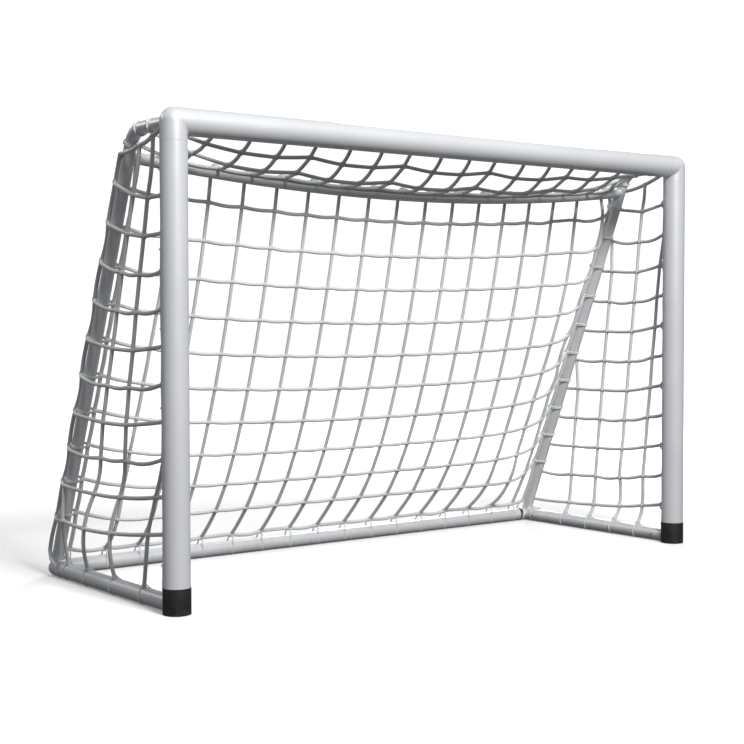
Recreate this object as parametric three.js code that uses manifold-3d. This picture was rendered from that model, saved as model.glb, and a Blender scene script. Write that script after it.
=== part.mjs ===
// A free-standing practice soccer goal with its net: two round posts and a crossbar in front, a ground
// frame, two raking back stays, bent top arms and a dipped rear top bar.
// Every tube plugs onto the spigot of a connector, and a sprung snap button locks it there.
//
// Millimetres. +X runs along the goal line, +Y from the goal mouth to the rear, +Z up.
// The goal is drawn with its goal line at Y = 0, and the last lines move it so that the origin is
// on the ground under the middle of the whole goal.

import * as THREE from 'three';
import { mergeVertices } from 'three/addons/utils/BufferGeometryUtils.js';
import Module from 'manifold-3d';

const wasm = await Module();
wasm.setup();

// ---------- Driving dimensions ----------

const INSIDE_WIDTH = 1800;
const INSIDE_HEIGHT = 1200;
const GROUND_DEPTH = 700;        // goal line to the rear ground bar
const TOP_DEPTH = 236;           // goal line to the rear top bar
const REAR_BAR_HEIGHT = 1168;    // the rear top bar, at its ends
const REAR_BAR_DIP = 57;         // and how far its middle hangs below them

const POST = { radius: 35, wall: 2.5 };
const GROUND = { radius: 22, wall: 2.5 };
const STAY = { radius: 17.5, wall: 2 };
const REAR_BAR = { radius: 16, wall: 2 };
const ARM_BEND_RADIUS = 68;

const GAP = 0.3;                 // between pieces that touch
const CORNER_REACH = 50;         // corner centre to the shoulder that a post tube butts against
const CORNER_SPIGOT = 90;
const BASE_REACH = 30;           // the same, in the ground frame
const BASE_SPIGOT = 60;
const STAY_SOCKET_REACH = 55;
const TEE_REACH = 25;
const STAY_SPIGOT = 40;
const SPIGOT_WALL = 3.5;
const ARM_SPIGOT = 14;
const FERRULE_LENGTH = 10;

const CAP = { radius: 36.5, height: 68, floor: 6 };
const PLUG_TOP = 60;             // top of the plug inside a post's foot

const BUTTON = { radius: 4.2, hole: 4.8, proud: 3.5 };
const LEAF = { width: 9, thickness: 1.2, length: 46, clearance: 1.5 };

const MESH_COLUMNS = 17;         // meshes across the back of the net
const CROSSBAR_HOOKS = 6;        // one at every third mesh
const POST_HOOKS = 6;
const POST_HOOK_SPACING = 200;   // every second mesh
const LOWEST_HOOK = 115;
const NET_THICKNESS = 5;
const NET_SAG = 90;              // how far the back of the net hangs below a taut plane
const TOP_NET_SAG = 12;

const SIDES = 24;                // facets round a tube
const BORE_SIDES = 12;           // and round the hollow of a connector

// ---------- Places worked out from them ----------

const POST_X = INSIDE_WIDTH / 2 + POST.radius;
const BAR_Z = INSIDE_HEIGHT + POST.radius;
const GROUND_Z = GROUND.radius;
const LEFT = -1;
const RIGHT = 1;
const BOTH_SIDES = [['left', LEFT], ['right', RIGHT]];

const point = (x, y, z) => new THREE.Vector3(x, y, z);
const X_AXIS = point(1, 0, 0);
const Y_AXIS = point(0, 1, 0);
const Z_AXIS = point(0, 0, 1);

const inward = (side) => point(-side, 0, 0);
const postTop = (side) => point(side * POST_X, 0, BAR_Z);
const baseCorner = (side) => point(side * POST_X, GROUND_DEPTH, GROUND_Z);
const rearTee = (side) => point(side * POST_X, TOP_DEPTH, REAR_BAR_HEIGHT);
const stayLine = rearTee(RIGHT).sub(baseCorner(RIGHT));
const STAY_LENGTH = stayLine.length();
const UP_STAY = stayLine.normalize();

const rearBarHeight = (x) => REAR_BAR_HEIGHT - REAR_BAR_DIP * (1 - (x / POST_X) ** 2);
const REAR_BAR_END_SLOPE = 2 * REAR_BAR_DIP / POST_X;
const alongRearBar = (side) => point(-side, 0, -REAR_BAR_END_SLOPE).normalize();
const beyond = (start, direction, distance) => start.clone().addScaledVector(direction, distance);

// ---------- Materials ----------

const tubePaint = new THREE.MeshStandardMaterial({ color: 0xc9cdd1, roughness: 0.35, metalness: 0.2 });
const connectorPaint = new THREE.MeshStandardMaterial({ color: 0xc5c9cd, roughness: 0.38, metalness: 0.2 });
const blackRubber = new THREE.MeshStandardMaterial({ color: 0x26282c, roughness: 0.7, metalness: 0 });
const springSteel = new THREE.MeshStandardMaterial({ color: 0xb4b7ba, roughness: 0.25, metalness: 0.9 });
const hookPlastic = new THREE.MeshStandardMaterial({ color: 0xdadcdd, roughness: 0.5, metalness: 0 });
const netCord = new THREE.MeshStandardMaterial({ color: 0xb9bcbc, roughness: 0.8, metalness: 0 });

// ---------- Solids ----------

function solidOf(geometry) {
  geometry.deleteAttribute('normal');
  geometry.deleteAttribute('uv');
  const merged = mergeVertices(geometry, 1e-3);
  return new wasm.Manifold(new wasm.Mesh({
    numProp: 3,
    vertProperties: new Float32Array(merged.attributes.position.array),
    triVerts: new Uint32Array(merged.index.array),
  }));
}

function union(solids) {
  return solids.reduce((whole, next) => whole.add(next));
}

// A solid round rod between two points.
function rod(start, end, radius, sides = SIDES) {
  const axis = end.clone().sub(start);
  const geometry = new THREE.CylinderGeometry(radius, radius, axis.length(), sides);
  const turn = new THREE.Quaternion().setFromUnitVectors(Y_AXIS, axis.clone().normalize());
  geometry.applyQuaternion(turn);
  geometry.translate(...start.clone().add(end).multiplyScalar(0.5).toArray());
  return solidOf(geometry);
}

// A rod that starts at distance `from` along a direction and ends at distance `to`.
function stub(centre, direction, from, to, radius, sides = SIDES) {
  return rod(beyond(centre, direction, from), beyond(centre, direction, to), radius, sides);
}

function ball(centre, radius, sides = SIDES) {
  const geometry = new THREE.SphereGeometry(radius, sides, sides / 2);
  geometry.rotateX(Math.PI / 2);
  geometry.translate(...centre.toArray());
  return solidOf(geometry);
}

function block(centre, width, depth, height) {
  const geometry = new THREE.BoxGeometry(width, depth, height);
  geometry.translate(...centre.toArray());
  return solidOf(geometry);
}

// A straight tube, open at both ends.
function tube(start, end, { radius, wall }) {
  const axis = end.clone().sub(start).normalize();
  const bore = rod(beyond(start, axis, -1), beyond(end, axis, 1), radius - wall);
  return rod(start, end, radius).subtract(bore);
}

function ringShape({ radius, wall }, sides) {
  const circle = (r) => Array.from({ length: sides }, (_, i) => {
    const angle = 2 * Math.PI * i / sides;
    return new THREE.Vector2(r * Math.cos(angle), r * Math.sin(angle));
  });
  const shape = new THREE.Shape(circle(radius));
  if (wall) shape.holes.push(new THREE.Path(circle(radius - wall)));
  return shape;
}

// A tube along a curve, or a solid rod where the section has no wall.
function bentTube(curve, section, steps, sides = 16) {
  return solidOf(new THREE.ExtrudeGeometry(ringShape(section, sides), {
    steps,
    bevelEnabled: false,
    extrudePath: curve,
  }));
}

// A flat arc round a centre, from one spoke through an angle towards the other.
class Arc extends THREE.Curve {
  constructor(centre, spoke, towards, angle) {
    super();
    Object.assign(this, { centre, spoke, towards, angle });
  }

  getPoint(t) {
    const turned = this.angle * t;
    return this.centre.clone()
      .addScaledVector(this.spoke, Math.cos(turned))
      .addScaledVector(this.towards, Math.sin(turned));
  }
}

class RearBarLine extends THREE.Curve {
  constructor(halfLength) {
    super();
    this.halfLength = halfLength;
  }

  getPoint(t) {
    const x = this.halfLength * (2 * t - 1);
    return point(x, TOP_DEPTH, rearBarHeight(x));
  }
}

// A closed sheet of even thickness. surface(u, v) gives its middle, with u and v from 0 to 1.
function sheet(surface, normal, thickness, columns, rows) {
  const positions = [];
  const triangles = [];
  const layerSize = (columns + 1) * (rows + 1);
  const at = (layer, i, j) => layer * layerSize + j * (columns + 1) + i;
  for (const offset of [-thickness / 2, thickness / 2]) {
    for (let j = 0; j <= rows; j += 1) {
      for (let i = 0; i <= columns; i += 1) {
        positions.push(...beyond(surface(i / columns, j / rows), normal, offset).toArray());
      }
    }
  }
  const quad = (a, b, c, d) => triangles.push(a, b, c, a, c, d);
  for (let j = 0; j < rows; j += 1) {
    for (let i = 0; i < columns; i += 1) {
      quad(at(0, i, j), at(0, i, j + 1), at(0, i + 1, j + 1), at(0, i + 1, j));
      quad(at(1, i, j), at(1, i + 1, j), at(1, i + 1, j + 1), at(1, i, j + 1));
    }
  }
  for (let i = 0; i < columns; i += 1) {
    quad(at(0, i, 0), at(0, i + 1, 0), at(1, i + 1, 0), at(1, i, 0));
    quad(at(0, i + 1, rows), at(0, i, rows), at(1, i, rows), at(1, i + 1, rows));
  }
  for (let j = 0; j < rows; j += 1) {
    quad(at(0, 0, j + 1), at(0, 0, j), at(1, 0, j), at(1, 0, j + 1));
    quad(at(0, columns, j), at(0, columns, j + 1), at(1, columns, j + 1), at(1, columns, j));
  }
  const geometry = new THREE.BufferGeometry();
  geometry.setAttribute('position', new THREE.Float32BufferAttribute(positions, 3));
  geometry.setIndex(triangles);
  return solidOf(geometry);
}

// ---------- The assembly ----------

const goal = new THREE.Group();
const holesFor = {};             // node name: the button holes to cut in it

function addPiece(name, solid, material) {
  const cut = (holesFor[name] ?? []).reduce((left, hole) => left.subtract(hole), solid);
  const { vertProperties, triVerts } = cut.getMesh();
  const geometry = new THREE.BufferGeometry();
  geometry.setAttribute('position', new THREE.BufferAttribute(vertProperties, 3));
  geometry.setIndex(new THREE.BufferAttribute(triVerts, 1));
  geometry.computeVertexNormals();
  const mesh = new THREE.Mesh(geometry, material);
  mesh.name = name;
  goal.add(mesh);
}

// ---------- Snap clips: a button on a leaf spring that is folded back inside the spigot ----------

function addSnapClip(name, centre, facing, along, tubeSection, boreRadius, drilled) {
  const hole = stub(centre, facing, boreRadius / 2, tubeSection.radius + 1, BUTTON.hole, 16);
  for (const node of drilled) {
    holesFor[node] = [...(holesFor[node] ?? []), hole];
  }
  const leafDistance = boreRadius - LEAF.clearance - LEAF.thickness;
  const button = stub(centre, facing, leafDistance - LEAF.thickness / 2,
    tubeSection.radius + BUTTON.proud, BUTTON.radius, 12);
  const foldDepth = LEAF.width;
  const across = facing.clone().cross(along);
  const size = (a, b, c) => point(0, 0, 0)
    .addScaledVector(along, a).addScaledVector(across, b).addScaledVector(facing, c)
    .toArray().map(Math.abs);
  const leafCentre = beyond(beyond(centre, facing, leafDistance), along, LEAF.length / 2 - LEAF.width);
  const leaf = block(leafCentre, ...size(LEAF.length, LEAF.width, LEAF.thickness));
  const foldEnd = beyond(leafCentre, along, LEAF.length / 2 - LEAF.thickness / 2);
  const fold = block(beyond(foldEnd, facing, -foldDepth / 2),
    ...size(LEAF.thickness, LEAF.width, foldDepth + LEAF.thickness));
  const returnLeaf = block(beyond(beyond(foldEnd, facing, -foldDepth), along, -LEAF.length / 4),
    ...size(LEAF.length / 2 + LEAF.thickness, LEAF.width, LEAF.thickness));
  addPiece(name, union([button, leaf, fold, returnLeaf]), springSteel);
}

const CORNER_BORE = POST.radius - POST.wall - GAP - SPIGOT_WALL;
const BASE_BORE = GROUND.radius - GROUND.wall - GAP - SPIGOT_WALL;

for (const [word, side] of BOTH_SIDES) {
  const cornerClip = CORNER_REACH + CORNER_SPIGOT / 2;
  const baseClip = BASE_REACH + BASE_SPIGOT / 2;
  addSnapClip(`${word}_crossbar_clip`, beyond(postTop(side), inward(side), cornerClip), Y_AXIS,
    inward(side), POST, CORNER_BORE, ['crossbar', `${word}_top_corner`]);
  addSnapClip(`${word}_post_clip`, beyond(postTop(side), Z_AXIS, -cornerClip), Y_AXIS,
    Z_AXIS.clone().negate(), POST, CORNER_BORE, [`${word}_post`, `${word}_top_corner`]);
  addSnapClip(`${word}_front_ground_clip`, point(side * POST_X, CAP.radius + BASE_SPIGOT * 0.6, GROUND_Z),
    inward(side), Y_AXIS, GROUND, BASE_BORE, [`${word}_side_ground_bar`, `${word}_post_foot`]);
  addSnapClip(`${word}_side_ground_clip`, beyond(baseCorner(side), Y_AXIS, -baseClip), inward(side),
    Y_AXIS.clone().negate(), GROUND, BASE_BORE, [`${word}_side_ground_bar`, `${word}_rear_base_corner`]);
  addSnapClip(`${word}_rear_ground_clip`, beyond(baseCorner(side), inward(side), baseClip + FERRULE_LENGTH),
    Y_AXIS, inward(side), GROUND, BASE_BORE, ['rear_ground_bar', `${word}_rear_base_corner`]);
}

// ---------- Front frame: crossbar, posts, top corners and feet ----------

addPiece('crossbar', tube(
  beyond(postTop(LEFT), inward(LEFT), CORNER_REACH + GAP),
  beyond(postTop(RIGHT), inward(RIGHT), CORNER_REACH + GAP),
  POST,
), tubePaint);

// The outside of a top corner, fattened by `extra`, so that the top arm can be cut to sit against it.
function cornerBody(side, extra = 0) {
  const centre = postTop(side);
  const radius = POST.radius + extra;
  return union([
    ball(centre, radius),
    stub(centre, inward(side), 0, CORNER_REACH, radius),
    stub(centre, Z_AXIS, -CORNER_REACH, 0, radius),
  ]);
}

function topCorner(side) {
  const centre = postTop(side);
  const spigotRadius = POST.radius - POST.wall - GAP;
  const armSpigot = STAY.radius - STAY.wall - 3 * GAP;
  const reach = CORNER_REACH + CORNER_SPIGOT;
  const body = union([
    cornerBody(side),
    stub(centre, inward(side), 0, reach, spigotRadius),
    stub(centre, Z_AXIS, -reach, 0, spigotRadius),
    stub(centre, Y_AXIS, 0, POST.radius + STAY_SPIGOT, armSpigot),
  ]);
  const bores = union([
    ball(centre, CORNER_BORE, BORE_SIDES),
    stub(centre, inward(side), 0, reach + 1, CORNER_BORE, BORE_SIDES),
    stub(centre, Z_AXIS, -reach - 1, 0, CORNER_BORE, BORE_SIDES),
    stub(centre, Y_AXIS, 0, POST.radius + STAY_SPIGOT + 1, armSpigot - SPIGOT_WALL, BORE_SIDES),
  ]);
  return body.subtract(bores);
}

function post(side) {
  const x = side * POST_X;
  const bottom = point(x, 0, CAP.floor + GAP);
  const top = point(x, 0, BAR_Z - CORNER_REACH - GAP);
  return tube(bottom, top, POST).subtract(footOpening(side));
}

// The way through a post's foot and its cap for the spigot of the ground bar.
function footOpening(side) {
  const spigotHole = GROUND.radius - GROUND.wall;
  return stub(point(side * POST_X, 0, GROUND_Z), Y_AXIS, POST.radius / 2, CAP.radius + 2, spigotHole);
}

// The plug in a post's foot, with the spigot that the side ground bar slides onto.
function postFoot(side) {
  const x = side * POST_X;
  const plugBottom = point(x, 0, CAP.floor + GAP);
  const spigotStart = point(x, 0, GROUND_Z);
  const spigotRadius = GROUND.radius - GROUND.wall - GAP;
  const spigotEnd = CAP.radius + BASE_SPIGOT * 1.2;
  const plug = rod(plugBottom, point(x, 0, PLUG_TOP), POST.radius - POST.wall - GAP);
  const spigot = stub(spigotStart, Y_AXIS, POST.radius * 0.6, spigotEnd, spigotRadius);
  const plugBore = rod(point(x, 0, CAP.floor + 6), point(x, 0, PLUG_TOP + 1), CORNER_BORE);
  const spigotBore = stub(spigotStart, Y_AXIS, 0, spigotEnd + 1, BASE_BORE);
  return plug.add(spigot).subtract(plugBore).subtract(spigotBore);
}

function footCap(side) {
  const x = side * POST_X;
  const cup = rod(point(x, 0, 0), point(x, 0, CAP.height), CAP.radius);
  const inside = rod(point(x, 0, CAP.floor), point(x, 0, CAP.height + 1), POST.radius + GAP);
  return cup.subtract(inside).subtract(footOpening(side));
}

for (const [word, side] of BOTH_SIDES) {
  addPiece(`${word}_post`, post(side), tubePaint);
  addPiece(`${word}_top_corner`, topCorner(side), connectorPaint);
  addPiece(`${word}_post_foot`, postFoot(side), blackRubber);
  addPiece(`${word}_foot_cap`, footCap(side), blackRubber);
}

// ---------- Ground frame ----------

function sideGroundBar(side) {
  const x = side * POST_X;
  const start = point(x, 0, GROUND_Z);
  const end = beyond(baseCorner(side), Y_AXIS, -BASE_REACH - GAP);
  const footClearance = rod(point(x, 0, -1), point(x, 0, CAP.height), CAP.radius + GAP);
  return tube(start, end, GROUND).subtract(footClearance);
}

function rearBaseCorner(side) {
  const centre = baseCorner(side);
  const forward = Y_AXIS.clone().negate();
  const spigotRadius = GROUND.radius - GROUND.wall - GAP;
  const staySpigot = STAY.radius - STAY.wall - GAP;
  const reach = BASE_REACH + BASE_SPIGOT;
  const rearReach = reach + FERRULE_LENGTH;
  const stayReach = STAY_SOCKET_REACH + STAY_SPIGOT;
  const body = union([
    ball(centre, GROUND.radius),
    stub(centre, forward, 0, BASE_REACH, GROUND.radius),
    stub(centre, forward, 0, reach, spigotRadius),
    stub(centre, inward(side), 0, BASE_REACH, GROUND.radius),
    stub(centre, inward(side), 0, rearReach, spigotRadius),
    stub(centre, UP_STAY, 0, STAY_SOCKET_REACH, STAY.radius),
    stub(centre, UP_STAY, 0, stayReach, staySpigot),
  ]);
  const bores = union([
    ball(centre, BASE_BORE, BORE_SIDES),
    stub(centre, forward, 0, reach + 1, BASE_BORE, BORE_SIDES),
    stub(centre, inward(side), 0, rearReach + 1, BASE_BORE, BORE_SIDES),
    stub(centre, UP_STAY, 0, stayReach + 1, staySpigot - SPIGOT_WALL, BORE_SIDES),
  ]);
  return body.subtract(bores);
}

const REAR_BAR_START = BASE_REACH + FERRULE_LENGTH + 2 * GAP;
addPiece('rear_ground_bar', tube(
  beyond(baseCorner(LEFT), inward(LEFT), REAR_BAR_START),
  beyond(baseCorner(RIGHT), inward(RIGHT), REAR_BAR_START),
  GROUND,
), tubePaint);

for (const [word, side] of BOTH_SIDES) {
  addPiece(`${word}_side_ground_bar`, sideGroundBar(side), tubePaint);
  addPiece(`${word}_rear_base_corner`, rearBaseCorner(side), connectorPaint);
  addPiece(`${word}_rear_ferrule`, tube(
    beyond(baseCorner(side), inward(side), BASE_REACH + GAP),
    beyond(baseCorner(side), inward(side), BASE_REACH + GAP + FERRULE_LENGTH),
    GROUND,
  ), blackRubber);
}

// ---------- Back stays, tees, top arms and the rear top bar ----------

function rearTeePiece(side) {
  const centre = rearTee(side);
  const barward = alongRearBar(side);
  const reach = TEE_REACH + STAY_SPIGOT;
  const staySpigot = STAY.radius - STAY.wall - GAP;
  const barSpigot = REAR_BAR.radius - REAR_BAR.wall - 3 * GAP;
  const armSpigot = staySpigot - 1.6;      // slimmer, because the arm bends where it starts
  const armReach = TEE_REACH + ARM_SPIGOT;
  const body = union([
    stub(centre, UP_STAY, -TEE_REACH, TEE_REACH, STAY.radius),
    stub(centre, UP_STAY, -reach, 0, staySpigot),
    stub(centre, UP_STAY, 0, armReach, armSpigot),
    stub(centre, barward, 0, BASE_REACH, REAR_BAR.radius),
    stub(centre, barward, 0, BASE_REACH + STAY_SPIGOT, barSpigot),
  ]);
  const bores = union([
    stub(centre, UP_STAY, -reach - 1, armReach + 1, armSpigot - SPIGOT_WALL, BORE_SIDES),
    stub(centre, barward, 0, BASE_REACH + STAY_SPIGOT + 1, barSpigot - SPIGOT_WALL, BORE_SIDES),
  ]);
  return body.subtract(bores);
}

// The top arm leaves the tee along the stay, bends forward and runs level to the top corner.
function topArm(side) {
  const tee = rearTee(side);
  const forward = Y_AXIS.clone().negate();
  const knee = beyond(tee, UP_STAY, (BAR_Z - REAR_BAR_HEIGHT) / UP_STAY.z);
  const turn = UP_STAY.angleTo(forward);
  const tangent = ARM_BEND_RADIUS * Math.tan(turn / 2);
  const bendStart = beyond(knee, UP_STAY, -tangent);
  const bendEnd = beyond(knee, forward, tangent);
  const bendCentre = beyond(bendEnd, Z_AXIS, -ARM_BEND_RADIUS);
  const spoke = bendStart.clone().sub(bendCentre);
  const towards = UP_STAY.clone().multiplyScalar(ARM_BEND_RADIUS);
  const line = new THREE.CurvePath();
  line.add(new THREE.LineCurve3(beyond(tee, UP_STAY, TEE_REACH + 2 * GAP), bendStart));
  line.add(new Arc(bendCentre, spoke, towards, turn));
  line.add(new THREE.LineCurve3(bendEnd, point(tee.x, 0, BAR_Z)));
  return bentTube(line, STAY, 14).subtract(cornerBody(side, GAP));
}

const TEE_BAR_START = POST_X - BASE_REACH * alongRearBar(LEFT).x - GAP;
addPiece('rear_top_bar', bentTube(new RearBarLine(TEE_BAR_START), REAR_BAR, 14), tubePaint);

for (const [word, side] of BOTH_SIDES) {
  addPiece(`${word}_back_stay`, tube(
    beyond(baseCorner(side), UP_STAY, STAY_SOCKET_REACH + GAP),
    beyond(baseCorner(side), UP_STAY, STAY_LENGTH - TEE_REACH - GAP),
    STAY,
  ), tubePaint);
  addPiece(`${word}_rear_tee`, rearTeePiece(side), connectorPaint);
  addPiece(`${word}_top_arm`, topArm(side), tubePaint);
}

// ---------- Net hooks on the back of the posts and the crossbar ----------

function netHook(centre, along) {
  const pad = { width: 18, length: 30, proud: 4 };
  const hook = { radius: 13.5, section: 2.5 };
  const isUpright = along === Z_AXIS;
  const padCentre = beyond(centre, Y_AXIS, POST.radius);
  const padBlock = isUpright
    ? block(padCentre, pad.width, 2 * pad.proud, pad.length)
    : block(padCentre, pad.length, 2 * pad.proud, pad.width);
  const tubeClearance = stub(centre, along, -pad.length, pad.length, POST.radius + GAP);
  const loopCentre = beyond(beyond(centre, Y_AXIS, POST.radius + pad.proud), Z_AXIS, hook.section);
  const loop = bentTube(
    new Arc(loopCentre, Z_AXIS.clone().multiplyScalar(-hook.radius),
      Y_AXIS.clone().multiplyScalar(hook.radius), Math.PI * 0.8),
    { radius: hook.section }, 8, 8,
  );
  return padBlock.subtract(tubeClearance).add(loop);
}

const NET_CLEARANCE = 8;
const backHalfWidth = POST_X - STAY.radius - NET_CLEARANCE;
const MESH_SIZE = 2 * backHalfWidth / MESH_COLUMNS;

for (const [word, side] of BOTH_SIDES) {
  for (let i = 0; i < POST_HOOKS; i += 1) {
    const height = LOWEST_HOOK + i * POST_HOOK_SPACING;
    addPiece(`${word}_post_hook_${i + 1}`, netHook(point(side * POST_X, 0, height), Z_AXIS), hookPlastic);
  }
}
for (let i = 0; i < CROSSBAR_HOOKS; i += 1) {
  const x = (i - (CROSSBAR_HOOKS - 1) / 2) * 3 * MESH_SIZE;
  addPiece(`crossbar_hook_${i + 1}`, netHook(point(x, 0, BAR_Z), X_AXIS), hookPlastic);
}

// ---------- The net, as plain sheets ----------

const awayFromMouth = point(0, UP_STAY.z, -UP_STAY.y);

function backNetSurface(u, v) {
  const x = backHalfWidth * (2 * u - 1);
  const top = point(x, TOP_DEPTH, rearBarHeight(x) - REAR_BAR.radius - NET_CLEARANCE);
  const bottom = point(x, GROUND_DEPTH, 2 * GROUND.radius + NET_CLEARANCE);
  const slack = 4 * v * (1 - v) * (1 - (2 * u - 1) ** 2);
  return top.lerp(bottom, v).addScaledVector(awayFromMouth, -NET_SAG * slack);
}
addPiece('net_back', sheet(backNetSurface, awayFromMouth, NET_THICKNESS, 10, 10), netCord);

function topNetSurface(u, v) {
  const x = backHalfWidth * (2 * u - 1);
  const front = point(x, POST.radius + 3 * NET_CLEARANCE, BAR_Z - NET_CLEARANCE);
  const rear = point(x, TOP_DEPTH - REAR_BAR.radius - NET_CLEARANCE, rearBarHeight(x) + NET_CLEARANCE);
  const slack = 4 * v * (1 - v) * (1 - (2 * u - 1) ** 2);
  return front.lerp(rear, v).addScaledVector(Z_AXIS, -TOP_NET_SAG * slack);
}
addPiece('net_top', sheet(topNetSurface, Z_AXIS, NET_THICKNESS, 10, 3), netCord);

// A side of the net hangs just outside the stay and the top arm.
function sideNet(side) {
  const frontY = POST.radius + NET_CLEARANCE;
  const bottomZ = 2 * GROUND.radius + NET_CLEARANCE;
  const topZ = BAR_Z + NET_CLEARANCE;
  const behindStay = point(0, UP_STAY.z, -UP_STAY.y).multiplyScalar(STAY.radius - 2);
  const upperRear = rearTee(side).add(behindStay);
  const lowerRear = beyond(baseCorner(side), UP_STAY, STAY_SOCKET_REACH / 2).add(behindStay);
  const outline = [
    [frontY, bottomZ],
    [lowerRear.y, bottomZ],
    [upperRear.y, upperRear.z],
    [TOP_DEPTH - ARM_BEND_RADIUS / 4, (upperRear.z + topZ) / 2 + NET_CLEARANCE],
    [TOP_DEPTH - ARM_BEND_RADIUS, topZ],
    [frontY, topZ],
  ];
  const shape = new THREE.Shape(outline.map(([y, z]) => new THREE.Vector2(y, z)));
  const geometry = new THREE.ExtrudeGeometry(shape, { depth: NET_THICKNESS, bevelEnabled: false });
  geometry.applyMatrix4(new THREE.Matrix4().makeBasis(Y_AXIS, Z_AXIS, X_AXIS));
  const innerFace = POST_X + STAY.radius + NET_THICKNESS / 2;
  geometry.translate(side === RIGHT ? innerFace : -innerFace - NET_THICKNESS, 0, 0);
  return solidOf(geometry);
}
for (const [word, side] of BOTH_SIDES) {
  addPiece(`net_${word}`, sideNet(side), netCord);
}

// ---------- Origin: on the ground, under the middle of the goal's box ----------

const frontmost = -CAP.radius;
const rearmost = GROUND_DEPTH + GROUND.radius + BUTTON.proud;
goal.position.y = -(frontmost + rearmost) / 2;

export default goal;
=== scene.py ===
"""The looks of a free-standing practice soccer goal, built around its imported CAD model.

Metres, in the CAD's frame: +X along the goal line, +Y from the goal mouth to the rear, +Z up.
at(x, y, z) measures y from the goal line. The net is a lattice of real cords: it starts flat between
the tubes and a position-based simulation hangs it under gravity, always with the same result.
"""

import math

import bmesh
import bpy
import numpy as np
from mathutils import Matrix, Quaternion, Vector


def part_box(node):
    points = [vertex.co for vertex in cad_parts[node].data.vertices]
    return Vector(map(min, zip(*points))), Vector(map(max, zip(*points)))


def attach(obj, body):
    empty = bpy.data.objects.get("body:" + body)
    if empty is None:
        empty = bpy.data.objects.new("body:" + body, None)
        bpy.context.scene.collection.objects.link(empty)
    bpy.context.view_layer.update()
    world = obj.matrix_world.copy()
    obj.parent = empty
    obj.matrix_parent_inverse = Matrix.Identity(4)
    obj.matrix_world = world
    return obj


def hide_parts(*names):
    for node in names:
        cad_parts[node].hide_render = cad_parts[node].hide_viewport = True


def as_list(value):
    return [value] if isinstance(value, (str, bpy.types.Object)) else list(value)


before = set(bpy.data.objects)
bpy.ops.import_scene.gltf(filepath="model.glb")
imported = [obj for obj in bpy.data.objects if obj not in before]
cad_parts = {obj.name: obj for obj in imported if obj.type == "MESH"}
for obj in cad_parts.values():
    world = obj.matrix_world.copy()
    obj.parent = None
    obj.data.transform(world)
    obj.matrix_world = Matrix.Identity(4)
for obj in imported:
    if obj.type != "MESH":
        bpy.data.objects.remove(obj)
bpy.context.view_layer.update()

# ---------- Camera: front left of the goal, a little below the crossbar ----------

CAMERA_PLACE = (-2.734, -3.4975, 0.746)
CAMERA_YAW, CAMERA_DOWN, CAMERA_ROLL = 37.5, 2.18, 0.12
CAMERA_LENS = 69.6


def make_camera():
    camera = bpy.data.objects.new("camera", bpy.data.cameras.new("camera"))
    bpy.context.scene.collection.objects.link(camera)
    yaw, down, roll = np.radians((CAMERA_YAW, CAMERA_DOWN, CAMERA_ROLL))
    forward = Vector((math.sin(yaw) * math.cos(down), math.cos(yaw) * math.cos(down), -math.sin(down)))
    camera.location = CAMERA_PLACE
    camera.rotation_mode = "QUATERNION"
    camera.rotation_quaternion = forward.to_track_quat("-Z", "Y") @ Quaternion((0, 0, 1), -roll)
    camera.data.lens = CAMERA_LENS
    camera.data.sensor_width = 36
    camera.data.clip_end = 200
    bpy.context.scene.camera = camera


make_camera()

# ---------- Places taken from the CAD ----------


def low_high(node):
    low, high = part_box(node)
    return np.array(low), np.array(high)


def middle(node):
    return sum(low_high(node)) / 2


def size(node):
    low, high = low_high(node)
    return high - low


POST_X, LINE_Y, _ = middle("right_post")
POST_R = size("right_post")[0] / 2
BAR_Z = middle("crossbar")[2]
REAR_Y = middle("rear_ground_bar")[1] - LINE_Y
GROUND_Z = middle("rear_ground_bar")[2]
GROUND_R = size("rear_ground_bar")[2] / 2
STAY_R = size("left_back_stay")[0] / 2
TEE_Y = middle("rear_top_bar")[1] - LINE_Y
REAR_BAR_R = size("rear_top_bar")[1] / 2
CAP_R, CAP_HEIGHT = size("left_foot_cap")[0] / 2, size("left_foot_cap")[2]

# The same sizes as in the CAD, which the boxes of its nodes don't give.
POST_WALL, GROUND_WALL, STAY_WALL, REAR_BAR_WALL = 0.0025, 0.0025, 0.002, 0.002
CORNER_REACH, CORNER_SPIGOT = 0.050, 0.090
BASE_REACH, BASE_SPIGOT = 0.030, 0.060
STAY_SOCKET_REACH, TEE_REACH, STAY_SPIGOT = 0.055, 0.025, 0.040
FERRULE_LENGTH = size("left_rear_ferrule")[0]
ARM_BEND_RADIUS = 0.068
GAP = 0.0003
BUTTON_R, BUTTON_HOLE, BUTTON_PROUD = 0.0042, 0.0048, 0.0035
SPIGOT_WALL = 0.0035

SIDES = {"left": -1, "right": 1}
FRAME = "frame"
RIGHTWARDS, BACKWARDS, UP = np.eye(3)


def at(x, y, z):
    return np.array((x, LINE_Y + y, z), float)


def inward(side):
    return -side * RIGHTWARDS


def unit(vector):
    vector = np.asarray(vector, float)
    return vector / np.linalg.norm(vector)


rear_low, rear_high = low_high("rear_top_bar")
REAR_BAR_END_X = rear_high[0]
REAR_BAR_MIDDLE_Z = rear_low[2] + REAR_BAR_R
REAR_BAR_RISE = (rear_high[2] - REAR_BAR_R - REAR_BAR_MIDDLE_Z) / REAR_BAR_END_X ** 2


def rear_bar_z(x):
    """Height of the dipped rear top bar's centre line."""
    return REAR_BAR_MIDDLE_Z + REAR_BAR_RISE * x * x


TEE_Z = rear_bar_z(POST_X)
UP_STAY = unit((0, TEE_Y - REAR_Y, TEE_Z - GROUND_Z))
BEHIND_STAY = np.array((0, UP_STAY[2], -UP_STAY[1]))
STAY_LENGTH = math.hypot(TEE_Y - REAR_Y, TEE_Z - GROUND_Z)


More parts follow.
